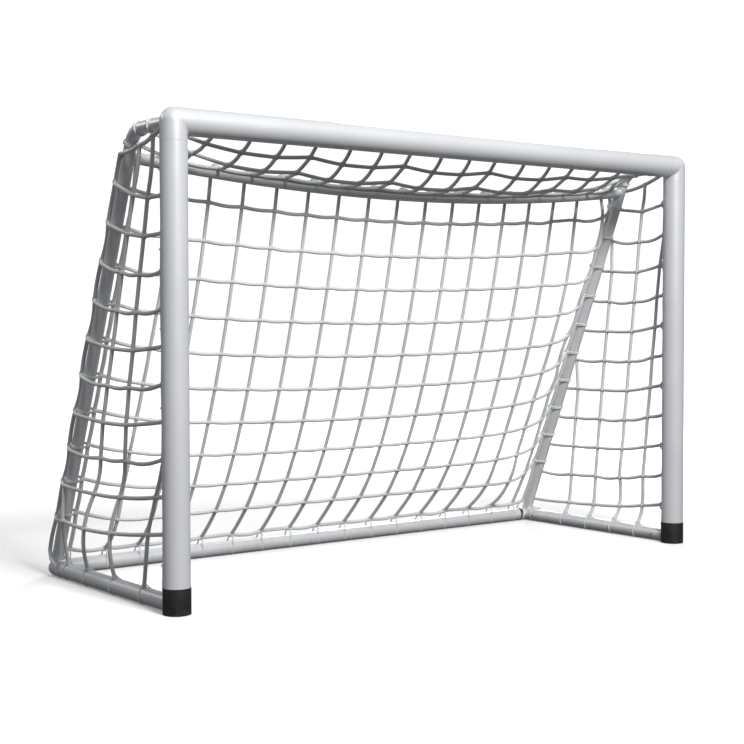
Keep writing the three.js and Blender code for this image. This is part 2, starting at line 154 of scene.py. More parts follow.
def base_corner(side):
    return at(side * POST_X, REAR_Y, GROUND_Z)


def tee(side):
    return at(side * POST_X, TEE_Y, TEE_Z)


def on_stay(side, z):
    """The point of a back stay's axis at a height."""
    return base_corner(side) + UP_STAY * (z - GROUND_Z) / UP_STAY[2]


CORNER_CLIP = CORNER_REACH + CORNER_SPIGOT / 2
BASE_CLIP = BASE_REACH + BASE_SPIGOT / 2
FOOT_CLIP = CAP_R + BASE_SPIGOT * 0.6


def clip_places(side):
    """For each kind of snap clip: the point of the tube's axis under its button, the way the button
    faces, the way its leaf runs, and the tube's radius."""
    x, clip_x = side * POST_X, side * (POST_X - CORNER_CLIP)
    rear_x = side * (POST_X - BASE_CLIP - FERRULE_LENGTH)
    return {
        "crossbar_clip": (at(clip_x, 0, BAR_Z), BACKWARDS, inward(side), POST_R),
        "post_clip": (at(x, 0, BAR_Z - CORNER_CLIP), BACKWARDS, -UP, POST_R),
        "front_ground_clip": (at(x, FOOT_CLIP, GROUND_Z), inward(side), BACKWARDS, GROUND_R),
        "side_ground_clip": (at(x, REAR_Y - BASE_CLIP, GROUND_Z), inward(side), -BACKWARDS, GROUND_R),
        "rear_ground_clip": (at(rear_x, REAR_Y, GROUND_Z), BACKWARDS, inward(side), GROUND_R),
    }


CLIPS = {f"{word}_{kind}": place for word, side in SIDES.items() for kind, place in clip_places(side).items()}


# ---------- Mesh helpers ----------


class Shape:
    """Vertices, faces and face-corner UVs, gathered for one mesh."""

    def __init__(self):
        self.vertices = []
        self.faces = []
        self.uvs = []
        self.count = 0

    def add(self, vertices, faces, uvs=None):
        self.vertices.append(np.asarray(vertices, float))
        self.faces += [tuple(int(i) + self.count for i in face) for face in faces]
        self.uvs += list(uvs) if uvs is not None else [((0, 0),) * len(face) for face in faces]
        self.count += len(vertices)

    def build(self, name, material, sharp_angle=35):
        mesh = bpy.data.meshes.new(name)
        mesh.from_pydata(np.concatenate(self.vertices), [], self.faces)
        layer = mesh.uv_layers.new(name="UVMap")
        layer.data.foreach_set("uv", np.concatenate([np.ravel(uv) for uv in self.uvs]).astype(np.float32))
        mesh.validate()
        mesh.shade_smooth()
        mesh.set_sharp_from_angle(angle=math.radians(sharp_angle))
        mesh.materials.append(material)
        built = bpy.data.objects.new(name, mesh)
        bpy.context.scene.collection.objects.link(built)
        return built


def side_frames(path, closed=False):
    """Two unit normals at each point of a path, turning no more than the path does."""
    if closed:
        tangents = np.roll(path, -1, 0) - np.roll(path, 1, 0)
    else:
        tangents = np.gradient(path, axis=0)
    tangents /= np.linalg.norm(tangents, axis=1)[:, None]
    helper = np.eye(3)[np.argmin(abs(tangents[0]))]
    normal = unit(np.cross(tangents[0], helper))
    normals = []
    for tangent in tangents:
        normal = unit(normal - (normal @ tangent) * tangent)
        normals.append(normal)
    normals = np.array(normals)
    return normals, np.cross(tangents, normals)


def ring_grid(rings, sides, closed):
    """Quads between successive rings of vertices, with UVs: u round the ring, v the ring's number."""
    faces, uvs = [], []
    for i in range(rings if closed else rings - 1):
        following = (i + 1) % rings
        for j in range(sides):
            k = (j + 1) % sides
            faces.append((i * sides + j, i * sides + k, following * sides + k, following * sides + j))
            uvs.append(((j, i), (j + 1, i), (j + 1, i + 1), (j, i + 1)))
    return faces, np.array(uvs, float)


def add_cord(shape, path, radius, sides=10, closed=False):
    """A round cord along a path, closed by flat ends, with UVs in metres along it."""
    path = np.asarray(path, float)
    normals, others = side_frames(path, closed)
    angles = np.linspace(0, 2 * math.pi, sides, endpoint=False)
    radii = np.broadcast_to(radius, len(path))[:, None, None]
    rings = path[:, None] + radii * (
        np.cos(angles)[None, :, None] * normals[:, None] + np.sin(angles)[None, :, None] * others[:, None]
    )
    faces, uvs = ring_grid(len(path), sides, closed)
    steps = np.linalg.norm(np.diff(path, axis=0, append=path[:1] if closed else path[-1:]), axis=1)
    along = np.concatenate([[0], np.cumsum(steps)])
    uvs[:, :, 1] = along[uvs[:, :, 1].astype(int)]
    uvs[:, :, 0] /= sides
    uvs = list(uvs)
    if not closed:
        last = (len(path) - 1) * sides
        faces += [tuple(range(sides))[::-1], tuple(range(last, last + sides))]
        uvs += [[(0, 0)] * sides, [(0, 0)] * sides]
    shape.add(rings.reshape(-1, 3), faces, uvs)


def revolve(shape, profile, start, direction, sides=64):
    """A closed profile of (distance along, radius) points turned about an axis.
    Where it begins and ends on the axis the solid is full, otherwise it is a ring."""
    direction = unit(direction)
    helper = np.eye(3)[np.argmin(abs(direction))]
    across = unit(np.cross(direction, helper))
    other = np.cross(direction, across)
    full = profile[0][1] == 0
    angles = np.linspace(0, 2 * math.pi, sides, endpoint=False)
    spokes = np.cos(angles)[:, None] * across + np.sin(angles)[:, None] * other
    inner = profile[1:-1] if full else profile
    vertices = np.concatenate([start + s * direction + r * spokes for s, r in inner])
    faces, uvs = ring_grid(len(inner), sides, closed=not full)
    uvs = list(uvs / sides)
    if full:
        count = len(vertices)
        ends = [start + profile[i][0] * direction for i in (0, -1)]
        vertices = np.concatenate([vertices, ends])
        last = (len(inner) - 1) * sides
        for j in range(sides):
            k = (j + 1) % sides
            faces.append((count, k, j))
            faces.append((count + 1, last + j, last + k))
            uvs += [((0, 0),) * 3] * 2
    shape.add(vertices, faces, uvs)


def rounded(corners, radius, steps=4):
    """An open outline of (distance, radius) corners with its inner corners rounded."""
    points = [corners[0]]
    for before, corner, after in zip(corners, corners[1:], corners[2:]):
        corner = np.array(corner, float)
        into, out = np.array(before) - corner, np.array(after) - corner
        reach = min(radius, np.linalg.norm(into) / 2.01, np.linalg.norm(out) / 2.01)
        a, b = corner + unit(into) * reach, corner + unit(out) * reach
        for t in np.linspace(0, 1, steps + 1):
            points.append(tuple((1 - t) ** 2 * a + 2 * t * (1 - t) * corner + t * t * b))
    points.append(corners[-1])
    return points


def tube_profile(length, radius, wall, rim=0.0003):
    """The section of a tube with slightly rounded ends. A ring every 60 mm keeps its shading even."""
    inside = radius - wall
    stations = np.linspace(rim, length - rim, max(2, int(length / 0.06)))
    outer = [(0, radius - rim)] + [(s, radius) for s in stations] + [(length, radius - rim)]
    return outer + [(length, inside), (0, inside)]


def finish_piece(built, stands_for=None, body=FRAME):
    """Lets a piece ride on its body, in the place of a CAD node."""
    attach(built, body)
    if stands_for:
        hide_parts(stands_for)


def apply_modifiers(built):
    bpy.context.view_layer.update()
    graph = bpy.context.evaluated_depsgraph_get()
    mesh = bpy.data.meshes.new_from_object(built.evaluated_get(graph))
    built.modifiers.clear()
    built.data = mesh


# ---------- Materials ----------


class Nodes:
    """A short way to write a material's node tree."""

    def __init__(self, name):
        self.material = bpy.data.materials.new(name)
        self.material.use_nodes = True
        self.tree = self.material.node_tree
        self.shader = self.tree.nodes["Principled BSDF"]
        self.coordinates = self.tree.nodes.new("ShaderNodeTexCoord")

    def add(self, kind, values=(), links=(), **settings):
        node = self.tree.nodes.new("ShaderNode" + kind)
        for key, value in settings.items():
            setattr(node, key, value)
        for socket, value in dict(values).items():
            node.inputs[socket].default_value = value
        for socket, source in dict(links).items():
            self.tree.links.new(source, node.inputs[socket])
        return node

    def place(self, scale=(1, 1, 1), source="Object"):
        return self.add("Mapping", {"Scale": scale}, {"Vector": self.coordinates.outputs[source]}).outputs[0]

    def noise(self, scale, detail=3, place=None, roughness=0.5):
        values = {"Scale": scale, "Detail": detail, "Roughness": roughness}
        return self.add("TexNoise", values, {"Vector": place or self.coordinates.outputs["Object"]}).outputs[0]

    def ramp(self, factor, stops):
        node = self.add("ValToRGB", links={"Fac": factor})
        elements = node.color_ramp.elements
        for element, (position, colour) in zip(elements, stops):
            element.position, element.color = position, (*colour, 1)
        for position, colour in stops[2:]:
            elements.new(position).color = (*colour, 1)
        return node.outputs[0]

    def span(self, factor, low, high, lowest=0.0, highest=1.0):
        """Maps lowest..highest of a texture to low..high."""
        values = {"From Min": lowest, "From Max": highest, "To Min": low, "To Max": high}
        return self.add("MapRange", values, {"Value": factor}).outputs[0]

    def math(self, operation, a, b=None):
        node = self.add("Math", operation=operation)
        for socket, value in zip(node.inputs, (a, b)):
            if isinstance(value, (int, float)):
                socket.default_value = value
            elif value is not None:
                self.tree.links.new(value, socket)
        return node.outputs[0]

    def mix(self, factor, a, b):
        node = self.add("Mix", data_type="RGBA")
        for socket, value in ((node.inputs["Factor"], factor), (node.inputs[6], a), (node.inputs[7], b)):
            if isinstance(value, tuple):
                socket.default_value = (*value, 1)
            elif isinstance(value, (int, float)):
                socket.default_value = value
            else:
                self.tree.links.new(value, socket)
        return node.outputs[2]

    def bump(self, height, strength, distance, after=None):
        values = {"Strength": strength, "Distance": distance}
        links = {"Height": height}
        if after is not None:
            links["Normal"] = after
        return self.add("Bump", values, links).outputs[0]

    def finish(self, normal=None, colour=None, roughness=None, **constants):
        for socket, value in constants.items():
            self.shader.inputs[socket.replace("_", " ")].default_value = value
        for socket, source in (("Normal", normal), ("Base Color", colour), ("Roughness", roughness)):
            if source is not None:
                self.tree.links.new(source, self.shader.inputs[socket])
        return self.material


def paint(name, light, dark, peel_scale, smooth, rough):
    """Satin powder coat: faint clouding, orange peel, specks, and a little dust near the ground."""
    nodes = Nodes(name)
    height = nodes.add("SeparateXYZ", links={"Vector": nodes.coordinates.outputs["Object"]}).outputs[2]
    colour = nodes.ramp(nodes.noise(4, 2), [(0.3, dark), (0.7, light)])
    specks = nodes.span(nodes.noise(420, 3, roughness=0.7), 0, 0.35, 0.70, 0.78)
    colour = nodes.mix(specks, colour, (0.30, 0.31, 0.33))
    dust = nodes.math("MULTIPLY", nodes.span(height, 0.3, 0, 0.005, 0.07),
                      nodes.span(nodes.noise(70, 6, roughness=0.65), 0, 1, 0.45, 0.75))
    colour = nodes.mix(dust, colour, (0.33, 0.32, 0.29))
    roughness = nodes.span(nodes.noise(9, 3), smooth, rough, 0.2, 0.8)
    peel = nodes.bump(nodes.noise(peel_scale, 2), 0.10, 0.0004)
    normal = nodes.bump(nodes.noise(2600, 2), 0.04, 0.0002, peel)
    return nodes.finish(normal, colour, roughness, Metallic=0.25, Coat_Weight=0.15, Coat_Roughness=0.3,
                        Specular_IOR_Level=0.5)


def rubber():
    nodes = Nodes("black_rubber")
    height = nodes.add("SeparateXYZ", links={"Vector": nodes.coordinates.outputs["Object"]}).outputs[2]
    colour = nodes.ramp(nodes.noise(60, 5), [(0.3, (0.008, 0.008, 0.010)), (0.75, (0.016, 0.016, 0.019))])
    dust = nodes.math("MULTIPLY", nodes.span(height, 1, 0, 0.0, 0.02),
                      nodes.span(nodes.noise(120, 6, roughness=0.7), 0, 0.35, 0.45, 0.7))
    colour = nodes.mix(dust, colour, (0.16, 0.155, 0.14))
    roughness = nodes.span(nodes.noise(25, 4), 0.48, 0.68, 0.3, 0.7)
    grain = nodes.add("TexVoronoi", {"Scale": 900}, {"Vector": nodes.coordinates.outputs["Object"]}).outputs[0]
    normal = nodes.bump(nodes.noise(420, 4), 0.2, 0.0003, nodes.bump(grain, 0.15, 0.0002))
    return nodes.finish(normal, colour, roughness, Specular_IOR_Level=0.45)


def steel():
    nodes = Nodes("spring_steel")
    brushed = nodes.noise(300, 4, nodes.place((1, 1, 12)))
    colour = nodes.ramp(brushed, [(0.3, (0.50, 0.51, 0.52)), (0.7, (0.68, 0.69, 0.70))])
    roughness = nodes.span(brushed, 0.2, 0.38, 0.3, 0.7)
    return nodes.finish(nodes.bump(brushed, 0.1, 0.0001), colour, roughness, Metallic=1.0)


def plastic():
    nodes = Nodes("hook_plastic")
    colour = nodes.ramp(nodes.noise(40, 4), [(0.3, (0.56, 0.57, 0.58)), (0.7, (0.64, 0.65, 0.65))])
    roughness = nodes.span(nodes.noise(90, 4), 0.38, 0.55, 0.3, 0.7)
    return nodes.finish(nodes.bump(nodes.noise(1500, 3), 0.15, 0.0002), colour, roughness,
                        Subsurface_Weight=0.04, Subsurface_Radius=(0.002, 0.002, 0.002))


def braided_cord(name, light, dark, diameter):
    """Braided polyester: two sets of yarns that cross in a spiral, painted shade in the grooves between them,
    fuzz, and greying along the cord.
    """
    nodes = Nodes(name)
    place = nodes.add("SeparateXYZ", links={"Vector": nodes.coordinates.outputs["UV"]})
    around, along = place.outputs[0], place.outputs[1]
    lay = 1 / (diameter * 0.62)
    strands = 5
    turned = nodes.math("MULTIPLY", around, strands)
    forward = nodes.math("MULTIPLY", along, lay)
    waves = []
    for operation in ("ADD", "SUBTRACT"):
        phase = nodes.math("MULTIPLY", nodes.math(operation, turned, forward), 2 * math.pi)
        waves.append(nodes.span(nodes.math("SINE", phase), 0, 1, -1, 1))
    braid = nodes.math("MAXIMUM", waves[0], waves[1])
    fuzz = nodes.noise(2200, 4)
    stain = nodes.noise(7, 4)
    colour = nodes.ramp(stain, [(0.3, dark), (0.7, light)])
    # Painted shade: the colour is darkened in the grooves where the yarns dip.
    groove_shade = nodes.span(braid, 0.68, 1, 0.3, 0.9)
    shade = nodes.add("Mix", data_type="RGBA", blend_type="MULTIPLY")
    shade.inputs["Factor"].default_value = 1
    nodes.tree.links.new(colour, shade.inputs[6])
    nodes.tree.links.new(groove_shade, shade.inputs[7])
    colour = nodes.mix(nodes.span(fuzz, 0, 0.12, 0.4, 0.75), shade.outputs[2], (0.72, 0.73, 0.73))
    roughness = nodes.span(fuzz, 0.62, 0.86, 0.3, 0.7)
    normal = nodes.bump(fuzz, 0.2, 0.0004, nodes.bump(braid, 0.55, 0.0009))
    return nodes.finish(normal, colour, roughness, Sheen_Weight=0.25, Sheen_Roughness=0.5,
                        Specular_IOR_Level=0.4)


TUBE_PAINT = paint("tube_paint", (0.66, 0.675, 0.70), (0.62, 0.635, 0.66), 900, 0.30, 0.40)
CONNECTOR_PAINT = paint("connector_paint", (0.65, 0.665, 0.69), (0.61, 0.625, 0.65), 700, 0.32, 0.43)
RUBBER = rubber()
STEEL = steel()
PLASTIC = plastic()
CORD_R = 0.0055
BORDER_R = 0.0060
TIE_R = 0.0021
BAND_R = 0.0011
CORD = braided_cord("net_cord", (0.69, 0.70, 0.705), (0.59, 0.60, 0.605), 2 * CORD_R)
BORDER = braided_cord("net_border_rope", (0.69, 0.70, 0.705), (0.59, 0.60, 0.605), 2 * BORDER_R)
TIE = braided_cord("net_tie_cord", (0.80, 0.81, 0.81), (0.70, 0.71, 0.71), 2 * TIE_R)

# ---------- Straight tubes, with the holes that the snap buttons come through ----------


def drill(built, clips):
    """Cuts the round holes that the buttons of these clips come through."""
    for clip in clips:
        axis_point, facing, _, tube_r = CLIPS[clip]
        depth = tube_r / 2
        shape = Shape()
        outline = [(0, 0), (0, BUTTON_HOLE), (depth + 0.003, BUTTON_HOLE), (depth + 0.003, 0)]
        revolve(shape, outline, axis_point + facing * depth, facing, 32)
        cutter = shape.build("cutter", TUBE_PAINT)
        cut = built.modifiers.new("hole", "BOOLEAN")
        cut.operation, cut.solver, cut.object = "DIFFERENCE", "EXACT", cutter
        apply_modifiers(built)
        bpy.data.objects.remove(cutter)
    built.data.shade_smooth()
    built.data.set_sharp_from_angle(angle=math.radians(35))


def straight_tube(name, start, end, radius, wall, clips=()):
    shape = Shape()
    revolve(shape, tube_profile(np.linalg.norm(end - start), radius, wall), start, end - start)
    built = shape.build(name + "_tube", TUBE_PAINT)
    if clips:
        drill(built, clips)
    finish_piece(built, name)


def front_frame():
    bar_end = POST_X - CORNER_REACH - GAP
    straight_tube("crossbar", at(-bar_end, 0, BAR_Z), at(bar_end, 0, BAR_Z), POST_R, POST_WALL,
                  ["left_crossbar_clip", "right_crossbar_clip"])
    for word, side in SIDES.items():
        low, high = low_high(f"{word}_post")
        x = side * POST_X
        straight_tube(f"{word}_post", at(x, 0, low[2]), at(x, 0, high[2]), POST_R, POST_WALL,
                      [f"{word}_post_clip"])


def saddle(ring, centre, radius):
    """Moves a ring of points along Y so that it sits against an upright cylinder."""
    ring = ring.copy()
    ring[:, 1] = centre[1] + np.sqrt(radius ** 2 - (ring[:, 0] - centre[0]) ** 2)
    return ring


def side_ground_bar(word, side):
    """A tube whose front end is cut to fit against the round foot cap."""
    sides, rim = 64, 0.0006
    foot = at(side * POST_X, 0, 0)
    back = REAR_Y - BASE_REACH - GAP
    bore = GROUND_R - GROUND_WALL
    angles = np.linspace(0, 2 * math.pi, sides, endpoint=False)

    def ring(y, radius):
        x, z = side * POST_X + radius * np.cos(angles), GROUND_Z + radius * np.sin(angles)
        return np.stack([x, np.full(sides, LINE_Y + y), z], 1)

    rings = [saddle(ring(0, GROUND_R), foot, CAP_R + GAP)]
    rings += [ring(y, GROUND_R) for y in np.linspace(0.06, back - rim, 12)]
    rings += [ring(back, GROUND_R - rim), ring(back, bore), saddle(ring(0, bore), foot, CAP_R + GAP)]
    faces, uvs = ring_grid(len(rings), sides, closed=True)
    shape = Shape()
    shape.add(np.concatenate(rings), [face[::-1] for face in faces], list(uvs[:, ::-1] / sides))
    built = shape.build(f"{word}_side_ground_bar_tube", TUBE_PAINT)
    drill(built, [f"{word}_front_ground_clip", f"{word}_side_ground_clip"])
    finish_piece(built, f"{word}_side_ground_bar")


def ground_frame():
    low, high = low_high("rear_ground_bar")
    straight_tube("rear_ground_bar", at(low[0], REAR_Y, GROUND_Z), at(high[0], REAR_Y, GROUND_Z),
                  GROUND_R, GROUND_WALL, ["left_rear_ground_clip", "right_rear_ground_clip"])
    for word, side in SIDES.items():
        side_ground_bar(word, side)


def bent_pipe(name, path, radius, wall, end_cut=None):
    """A tube along a path. end_cut moves the last ring's points to where they meet a neighbour."""
    sides = 48
    normals, others = side_frames(path)
    angles = np.linspace(0, 2 * math.pi, sides, endpoint=False)

    def ring(i, r):
        return path[i] + r * (np.cos(angles)[:, None] * normals[i] + np.sin(angles)[:, None] * others[i])

    outer = [ring(i, radius) for i in range(len(path))]
    inner = [ring(len(path) - 1, radius - wall), ring(0, radius - wall)]
    if end_cut:
        outer[-1], inner[0] = end_cut(outer[-1]), end_cut(inner[0])
    bore = [ring(i, radius - wall) for i in range(len(path) - 2, 0, -1)]
    rings = outer + [inner[0]] + bore + [inner[1]]
    faces, uvs = ring_grid(len(rings), sides, closed=True)
    shape = Shape()
    shape.add(np.concatenate(rings), faces, list(uvs / sides))
    finish_piece(shape.build(name + "_tube", TUBE_PAINT), name)


def arm_path(side, step=0.006):
    """Up from the tee along the stay, round a bend, and level to the top corner."""
    knee = tee(side) + UP_STAY * (BAR_Z - TEE_Z) / UP_STAY[2]
    turn = math.acos(-UP_STAY[1])
    tangent = ARM_BEND_RADIUS * math.tan(turn / 2)
    bend_start, bend_end = knee - UP_STAY * tangent, knee - BACKWARDS * tangent
    centre = bend_end - np.array((0, 0, ARM_BEND_RADIUS))
    spoke = unit(bend_start - centre)
    arc = [centre + ARM_BEND_RADIUS * (spoke * math.cos(a) + UP_STAY * math.sin(a))
           for a in np.linspace(0, turn, 20)]
    first = tee(side) + UP_STAY * (TEE_REACH + 2 * GAP)
    up = [first + (bend_start - first) * t for t in np.linspace(0, 1, 4)[:-1]]
    last = at(side * POST_X, POST_R * 0.9, BAR_Z)
    count = int(np.linalg.norm(bend_end - last) / step)
    level = [bend_end + (last - bend_end) * t for t in np.linspace(0, 1, count)[1:]]
    return np.array(up + arc + level)


def against_corner(side):
    """Ends an arm's ring on the rounded back of a top corner."""
    centre = at(side * POST_X, 0, BAR_Z)
    reach = POST_R + GAP

    def cut(ring):
        offset = ring - centre
        x, z = offset[:, 0] * -side, offset[:, 2]
        off_ball = np.where(x > 0, 0, x) ** 2 + np.where(z < 0, 0, z) ** 2
        both = np.where((x > 0) & (z < 0), np.minimum(abs(x), abs(z)) ** 2, off_ball)
        ring = ring.copy()
        ring[:, 1] = centre[1] + np.sqrt(reach ** 2 - np.minimum(both, STAY_R ** 2))
        return ring
    return cut


def rear_upper_frame():
    low, high = low_high("rear_top_bar")
    x = np.linspace(low[0], high[0], 61)
    path = np.stack([x, np.full(61, LINE_Y + TEE_Y), rear_bar_z(x)], 1)
    bent_pipe("rear_top_bar", path, REAR_BAR_R, REAR_BAR_WALL)
    for word, side in SIDES.items():
        corner = base_corner(side)
        straight_tube(f"{word}_back_stay", corner + UP_STAY * (STAY_SOCKET_REACH + GAP),
                      corner + UP_STAY * (STAY_LENGTH - TEE_REACH - GAP), STAY_R, STAY_WALL)
        bent_pipe(f"{word}_top_arm", arm_path(side), STAY_R, STAY_WALL, against_corner(side))


front_frame()
ground_frame()
rear_upper_frame()

# ---------- Moulded connectors: shells fused together, with soft fillets ----------

VOXEL = 0.0016
SPARE = 0.008                     # how much too long a collar is made before it is cut off
SPIGOT_START = 0.004              # how far inside its collar a spigot begins


def fuse(built):
    """Joins overlapping shells into one skin and rounds the inside corners between them."""
    remesh = built.modifiers.new("fuse", "REMESH")
    remesh.mode, remesh.voxel_size = "VOXEL", VOXEL
    smooth = built.modifiers.new("fillet", "SMOOTH")
    smooth.factor, smooth.iterations = 0.5, 5
    apply_modifiers(built)
    built.data.shade_smooth()


def add_spigot(shape, start, direction, from_, to, radius):
    """The part of a connector that goes into a tube, as a ring with a chamfered end."""
    inside, chamfer = radius - SPIGOT_WALL, 0.002
    profile = [(from_, inside), (from_, radius), (to - chamfer, radius), (to, radius - chamfer), (to, inside)]
    revolve(shape, profile, start, direction, 48)


def cut_collars(built, centre, collars):
    """Cuts each collar off square where it ends."""
    mesh = bmesh.new()
    mesh.from_mesh(built.data)
    for direction, reach, radius in collars:
        near = set()
        for vertex in mesh.verts:
            offset = np.array(vertex.co) - centre
            along = offset @ direction
            if along > reach - SPARE and np.linalg.norm(offset - along * direction) < radius + 0.002:
                near.add(vertex)
        faces = [face for face in mesh.faces if all(vertex in near for vertex in face.verts)]
        edges = {edge for face in faces for edge in face.edges}
        vertices = {vertex for face in faces for vertex in face.verts}
        bmesh.ops.bisect_plane(mesh, geom=[*vertices, *edges, *faces], dist=1e-6, clear_outer=True,
                               plane_co=Vector(centre + direction * reach), plane_no=Vector(direction))
        bmesh.ops.edgeloop_fill(mesh, edges=[edge for edge in mesh.edges if edge.is_boundary])
    bmesh.ops.recalc_face_normals(mesh, faces=mesh.faces)
    mesh.to_mesh(built.data)
    mesh.free()
    built.data.set_sharp_from_angle(angle=math.radians(50))


def connector(name, centre, ball_r, branches):
    """A ball and collars fused into one skin, and a sharp-edged spigot in each collar. A branch is a
    direction, the reach and radius of its collar, and the end and radius of its spigot. One whose
    collar has no radius is a bare spigot."""
    skin = Shape()
    if ball_r:
        profile = [(-ball_r * math.cos(a), ball_r * math.sin(a)) for a in np.linspace(0, math.pi, 32)]
        profile[0], profile[-1] = (-ball_r, 0), (ball_r, 0)
        revolve(skin, profile, centre, UP, 64)
    collars = [branch[:3] for branch in branches if branch[2]]
    for direction, reach, radius in collars:
        end = reach + SPARE
        revolve(skin, rounded([(0, 0), (0, radius), (end, radius), (end, 0)], 0.0006), centre, direction, 64)
    built = skin.build(name + "_body", CONNECTOR_PAINT)
    fuse(built)
    cut_collars(built, centre, collars)
    rings = Shape()
    for direction, reach, _, end, radius in branches:
        add_spigot(rings, centre, direction, reach - SPIGOT_START, end, radius)
    spigots = rings.build("spigots", CONNECTOR_PAINT)
    with bpy.context.temp_override(active_object=built, selected_editable_objects=[built, spigots]):
        bpy.ops.object.join()
    finish_piece(built, name)


def connectors():
    post_spigot = POST_R - POST_WALL - GAP
    ground_spigot = GROUND_R - GROUND_WALL - GAP
    stay_spigot = STAY_R - STAY_WALL - GAP
    for word, side in SIDES.items():
        corner_end = CORNER_REACH + CORNER_SPIGOT
        connector(f"{word}_top_corner", at(side * POST_X, 0, BAR_Z), POST_R, [
            (inward(side), CORNER_REACH, POST_R, corner_end, post_spigot),
            (-UP, CORNER_REACH, POST_R, corner_end, post_spigot),
            (BACKWARDS, POST_R, None, POST_R + STAY_SPIGOT, stay_spigot - 2 * GAP),
        ])
        base_end = BASE_REACH + BASE_SPIGOT
        connector(f"{word}_rear_base_corner", base_corner(side), GROUND_R, [
            (-BACKWARDS, BASE_REACH, GROUND_R, base_end, ground_spigot),
            (inward(side), BASE_REACH, GROUND_R, base_end + FERRULE_LENGTH, ground_spigot),
            (UP_STAY, STAY_SOCKET_REACH, STAY_R, STAY_SOCKET_REACH + STAY_SPIGOT, stay_spigot),
        ])
        barward = unit((-side, 0, -2 * REAR_BAR_RISE * POST_X))
        bar_spigot = REAR_BAR_R - REAR_BAR_WALL - 3 * GAP
        connector(f"{word}_rear_tee", tee(side), None, [
            (UP_STAY, TEE_REACH, STAY_R, TEE_REACH + 0.014, stay_spigot - 0.0016),
            (-UP_STAY, TEE_REACH, STAY_R, TEE_REACH + STAY_SPIGOT, stay_spigot),
            (barward, BASE_REACH, REAR_BAR_R, BASE_REACH + STAY_SPIGOT, bar_spigot),
        ])


connectors()

# ---------- Rubber: foot caps, plugs in the feet, and black ferrules that paint the shadow line at the rear ground bar's ends ---


def rubber_part(name, word, shape, node):
    finish_piece(shape.build(f"{word}_{name}", RUBBER), f"{word}_{node}")


def rubber_parts():
    for word, side in SIDES.items():
        foot = at(side * POST_X, 0, 0)
        cup = Shape()
        sole, inside = 0.006, POST_R + GAP
        outline = rounded([(sole, 0), (0, 0), (0, CAP_R), (CAP_HEIGHT, CAP_R), (CAP_HEIGHT, inside),
                           (sole, inside), (sole, 0)], 0.0016)[1:]
        outline[0] = (0, 0)
        revolve(cup, outline, foot, UP, 96)
        rubber_part("foot_cap_rubber", word, cup, "foot_cap")
        # Painted shade: a black ring at each end of the rear ground bar stands for the shadow line where the
        # bar butts against the base corner.
        ring = Shape()
        bore = GROUND_R - GROUND_WALL
        outline = rounded([(0, bore), (0, GROUND_R), (FERRULE_LENGTH, GROUND_R), (FERRULE_LENGTH, bore)],
                          0.0012)
        revolve(ring, outline, at(low_high(f"{word}_rear_ferrule")[0][0], REAR_Y, GROUND_Z), RIGHTWARDS, 64)
        rubber_part("rear_ferrule_painted_shade", word, ring, "rear_ferrule")
        plug = Shape()
        bottom, top, plug_r = sole + GAP, 0.06, POST_R - POST_WALL - GAP
        revolve(plug, rounded([(bottom, 0), (bottom, plug_r), (top, plug_r), (top, 0)], 0.0015), foot, UP, 64)
        add_spigot(plug, foot + UP * GROUND_Z, BACKWARDS, CAP_R - 0.006, CAP_R + BASE_SPIGOT * 1.2,
                   GROUND_R - GROUND_WALL - GAP)
        rubber_part("post_foot_plug", word, plug, "post_foot")


rubber_parts()

# ---------- Snap clips: a domed button on a folded leaf spring ----------

LEAF_LENGTH, LEAF_WIDTH, LEAF_THICKNESS, LEAF_FOLD = 0.046, 0.009, 0.0012, 0.009
LEAF_GAP = 0.0015                 # between the leaf and the bore of its spigot


def snap_clip(node):
    """The button stands near one end of its leaf, and the leaf lies just inside the spigot."""
    centre, facing, along, tube_r = CLIPS[node]
    wall = POST_WALL if tube_r == POST_R else GROUND_WALL
    leaf_at = tube_r - wall - GAP - SPIGOT_WALL - LEAF_GAP - LEAF_THICKNESS
    shape = Shape()
    top = tube_r + BUTTON_PROUD
    dome = [(top - BUTTON_R * 0.45 * (1 - math.cos(a)), BUTTON_R * math.sin(a))
            for a in np.linspace(math.pi / 2, 0, 9)]
    revolve(shape, [(leaf_at, 0), (leaf_at, BUTTON_R)] + dome[:-1] + [(top, 0)], centre, facing, 32)
    add_leaf(shape, centre, facing, along, leaf_at)
    finish_piece(shape.build(node + "_spring", STEEL), node, body=node)


def add_leaf(shape, centre, facing, along, leaf_at):
    """A strip that runs along under the button and folds back on itself."""
    across = np.cross(facing, along)
    bend_r = LEAF_FOLD / 2
    end = LEAF_LENGTH - LEAF_WIDTH - bend_r
    line = [(s, leaf_at) for s in np.linspace(-LEAF_WIDTH, end, 8)]
    line += [(end + bend_r * math.sin(a), leaf_at - bend_r * (1 - math.cos(a)))
             for a in np.linspace(0, math.pi, 13)[1:]]
    line += [(s, leaf_at - LEAF_FOLD) for s in np.linspace(end, end - LEAF_LENGTH / 2, 6)[1:]]
    line = np.array(line)
    tangents = np.gradient(line, axis=0)
    tangents /= np.linalg.norm(tangents, axis=1)[:, None]
    normals = np.stack([-tangents[:, 1], tangents[:, 0]], 1) * LEAF_THICKNESS / 2
    rings = []
    for point, normal in zip(line, normals):
        for offset, sideways in ((normal, -1), (normal, 1), (-normal, 1), (-normal, -1)):
            s, h = point + offset
            rings.append(centre + along * s + facing * h + across * sideways * LEAF_WIDTH / 2)
    faces, uvs = ring_grid(len(line), 4, closed=False)
    last = (len(line) - 1) * 4
    faces += [(3, 2, 1, 0), (last, last + 1, last + 2, last + 3)]
    shape.add(rings, faces, list(uvs) + [((0, 0),) * 4] * 2)


for clip in sorted(CLIPS):
    snap_clip(clip)

# ---------- Net hooks: a saddle pad with a J-shaped loop ----------

HOOK_R, HOOK_SECTION, PAD_PROUD = 0.0135, 0.0025, 0.004
PAD_HALF_LENGTH, PAD_HALF_WIDTH = 0.015, 0.009


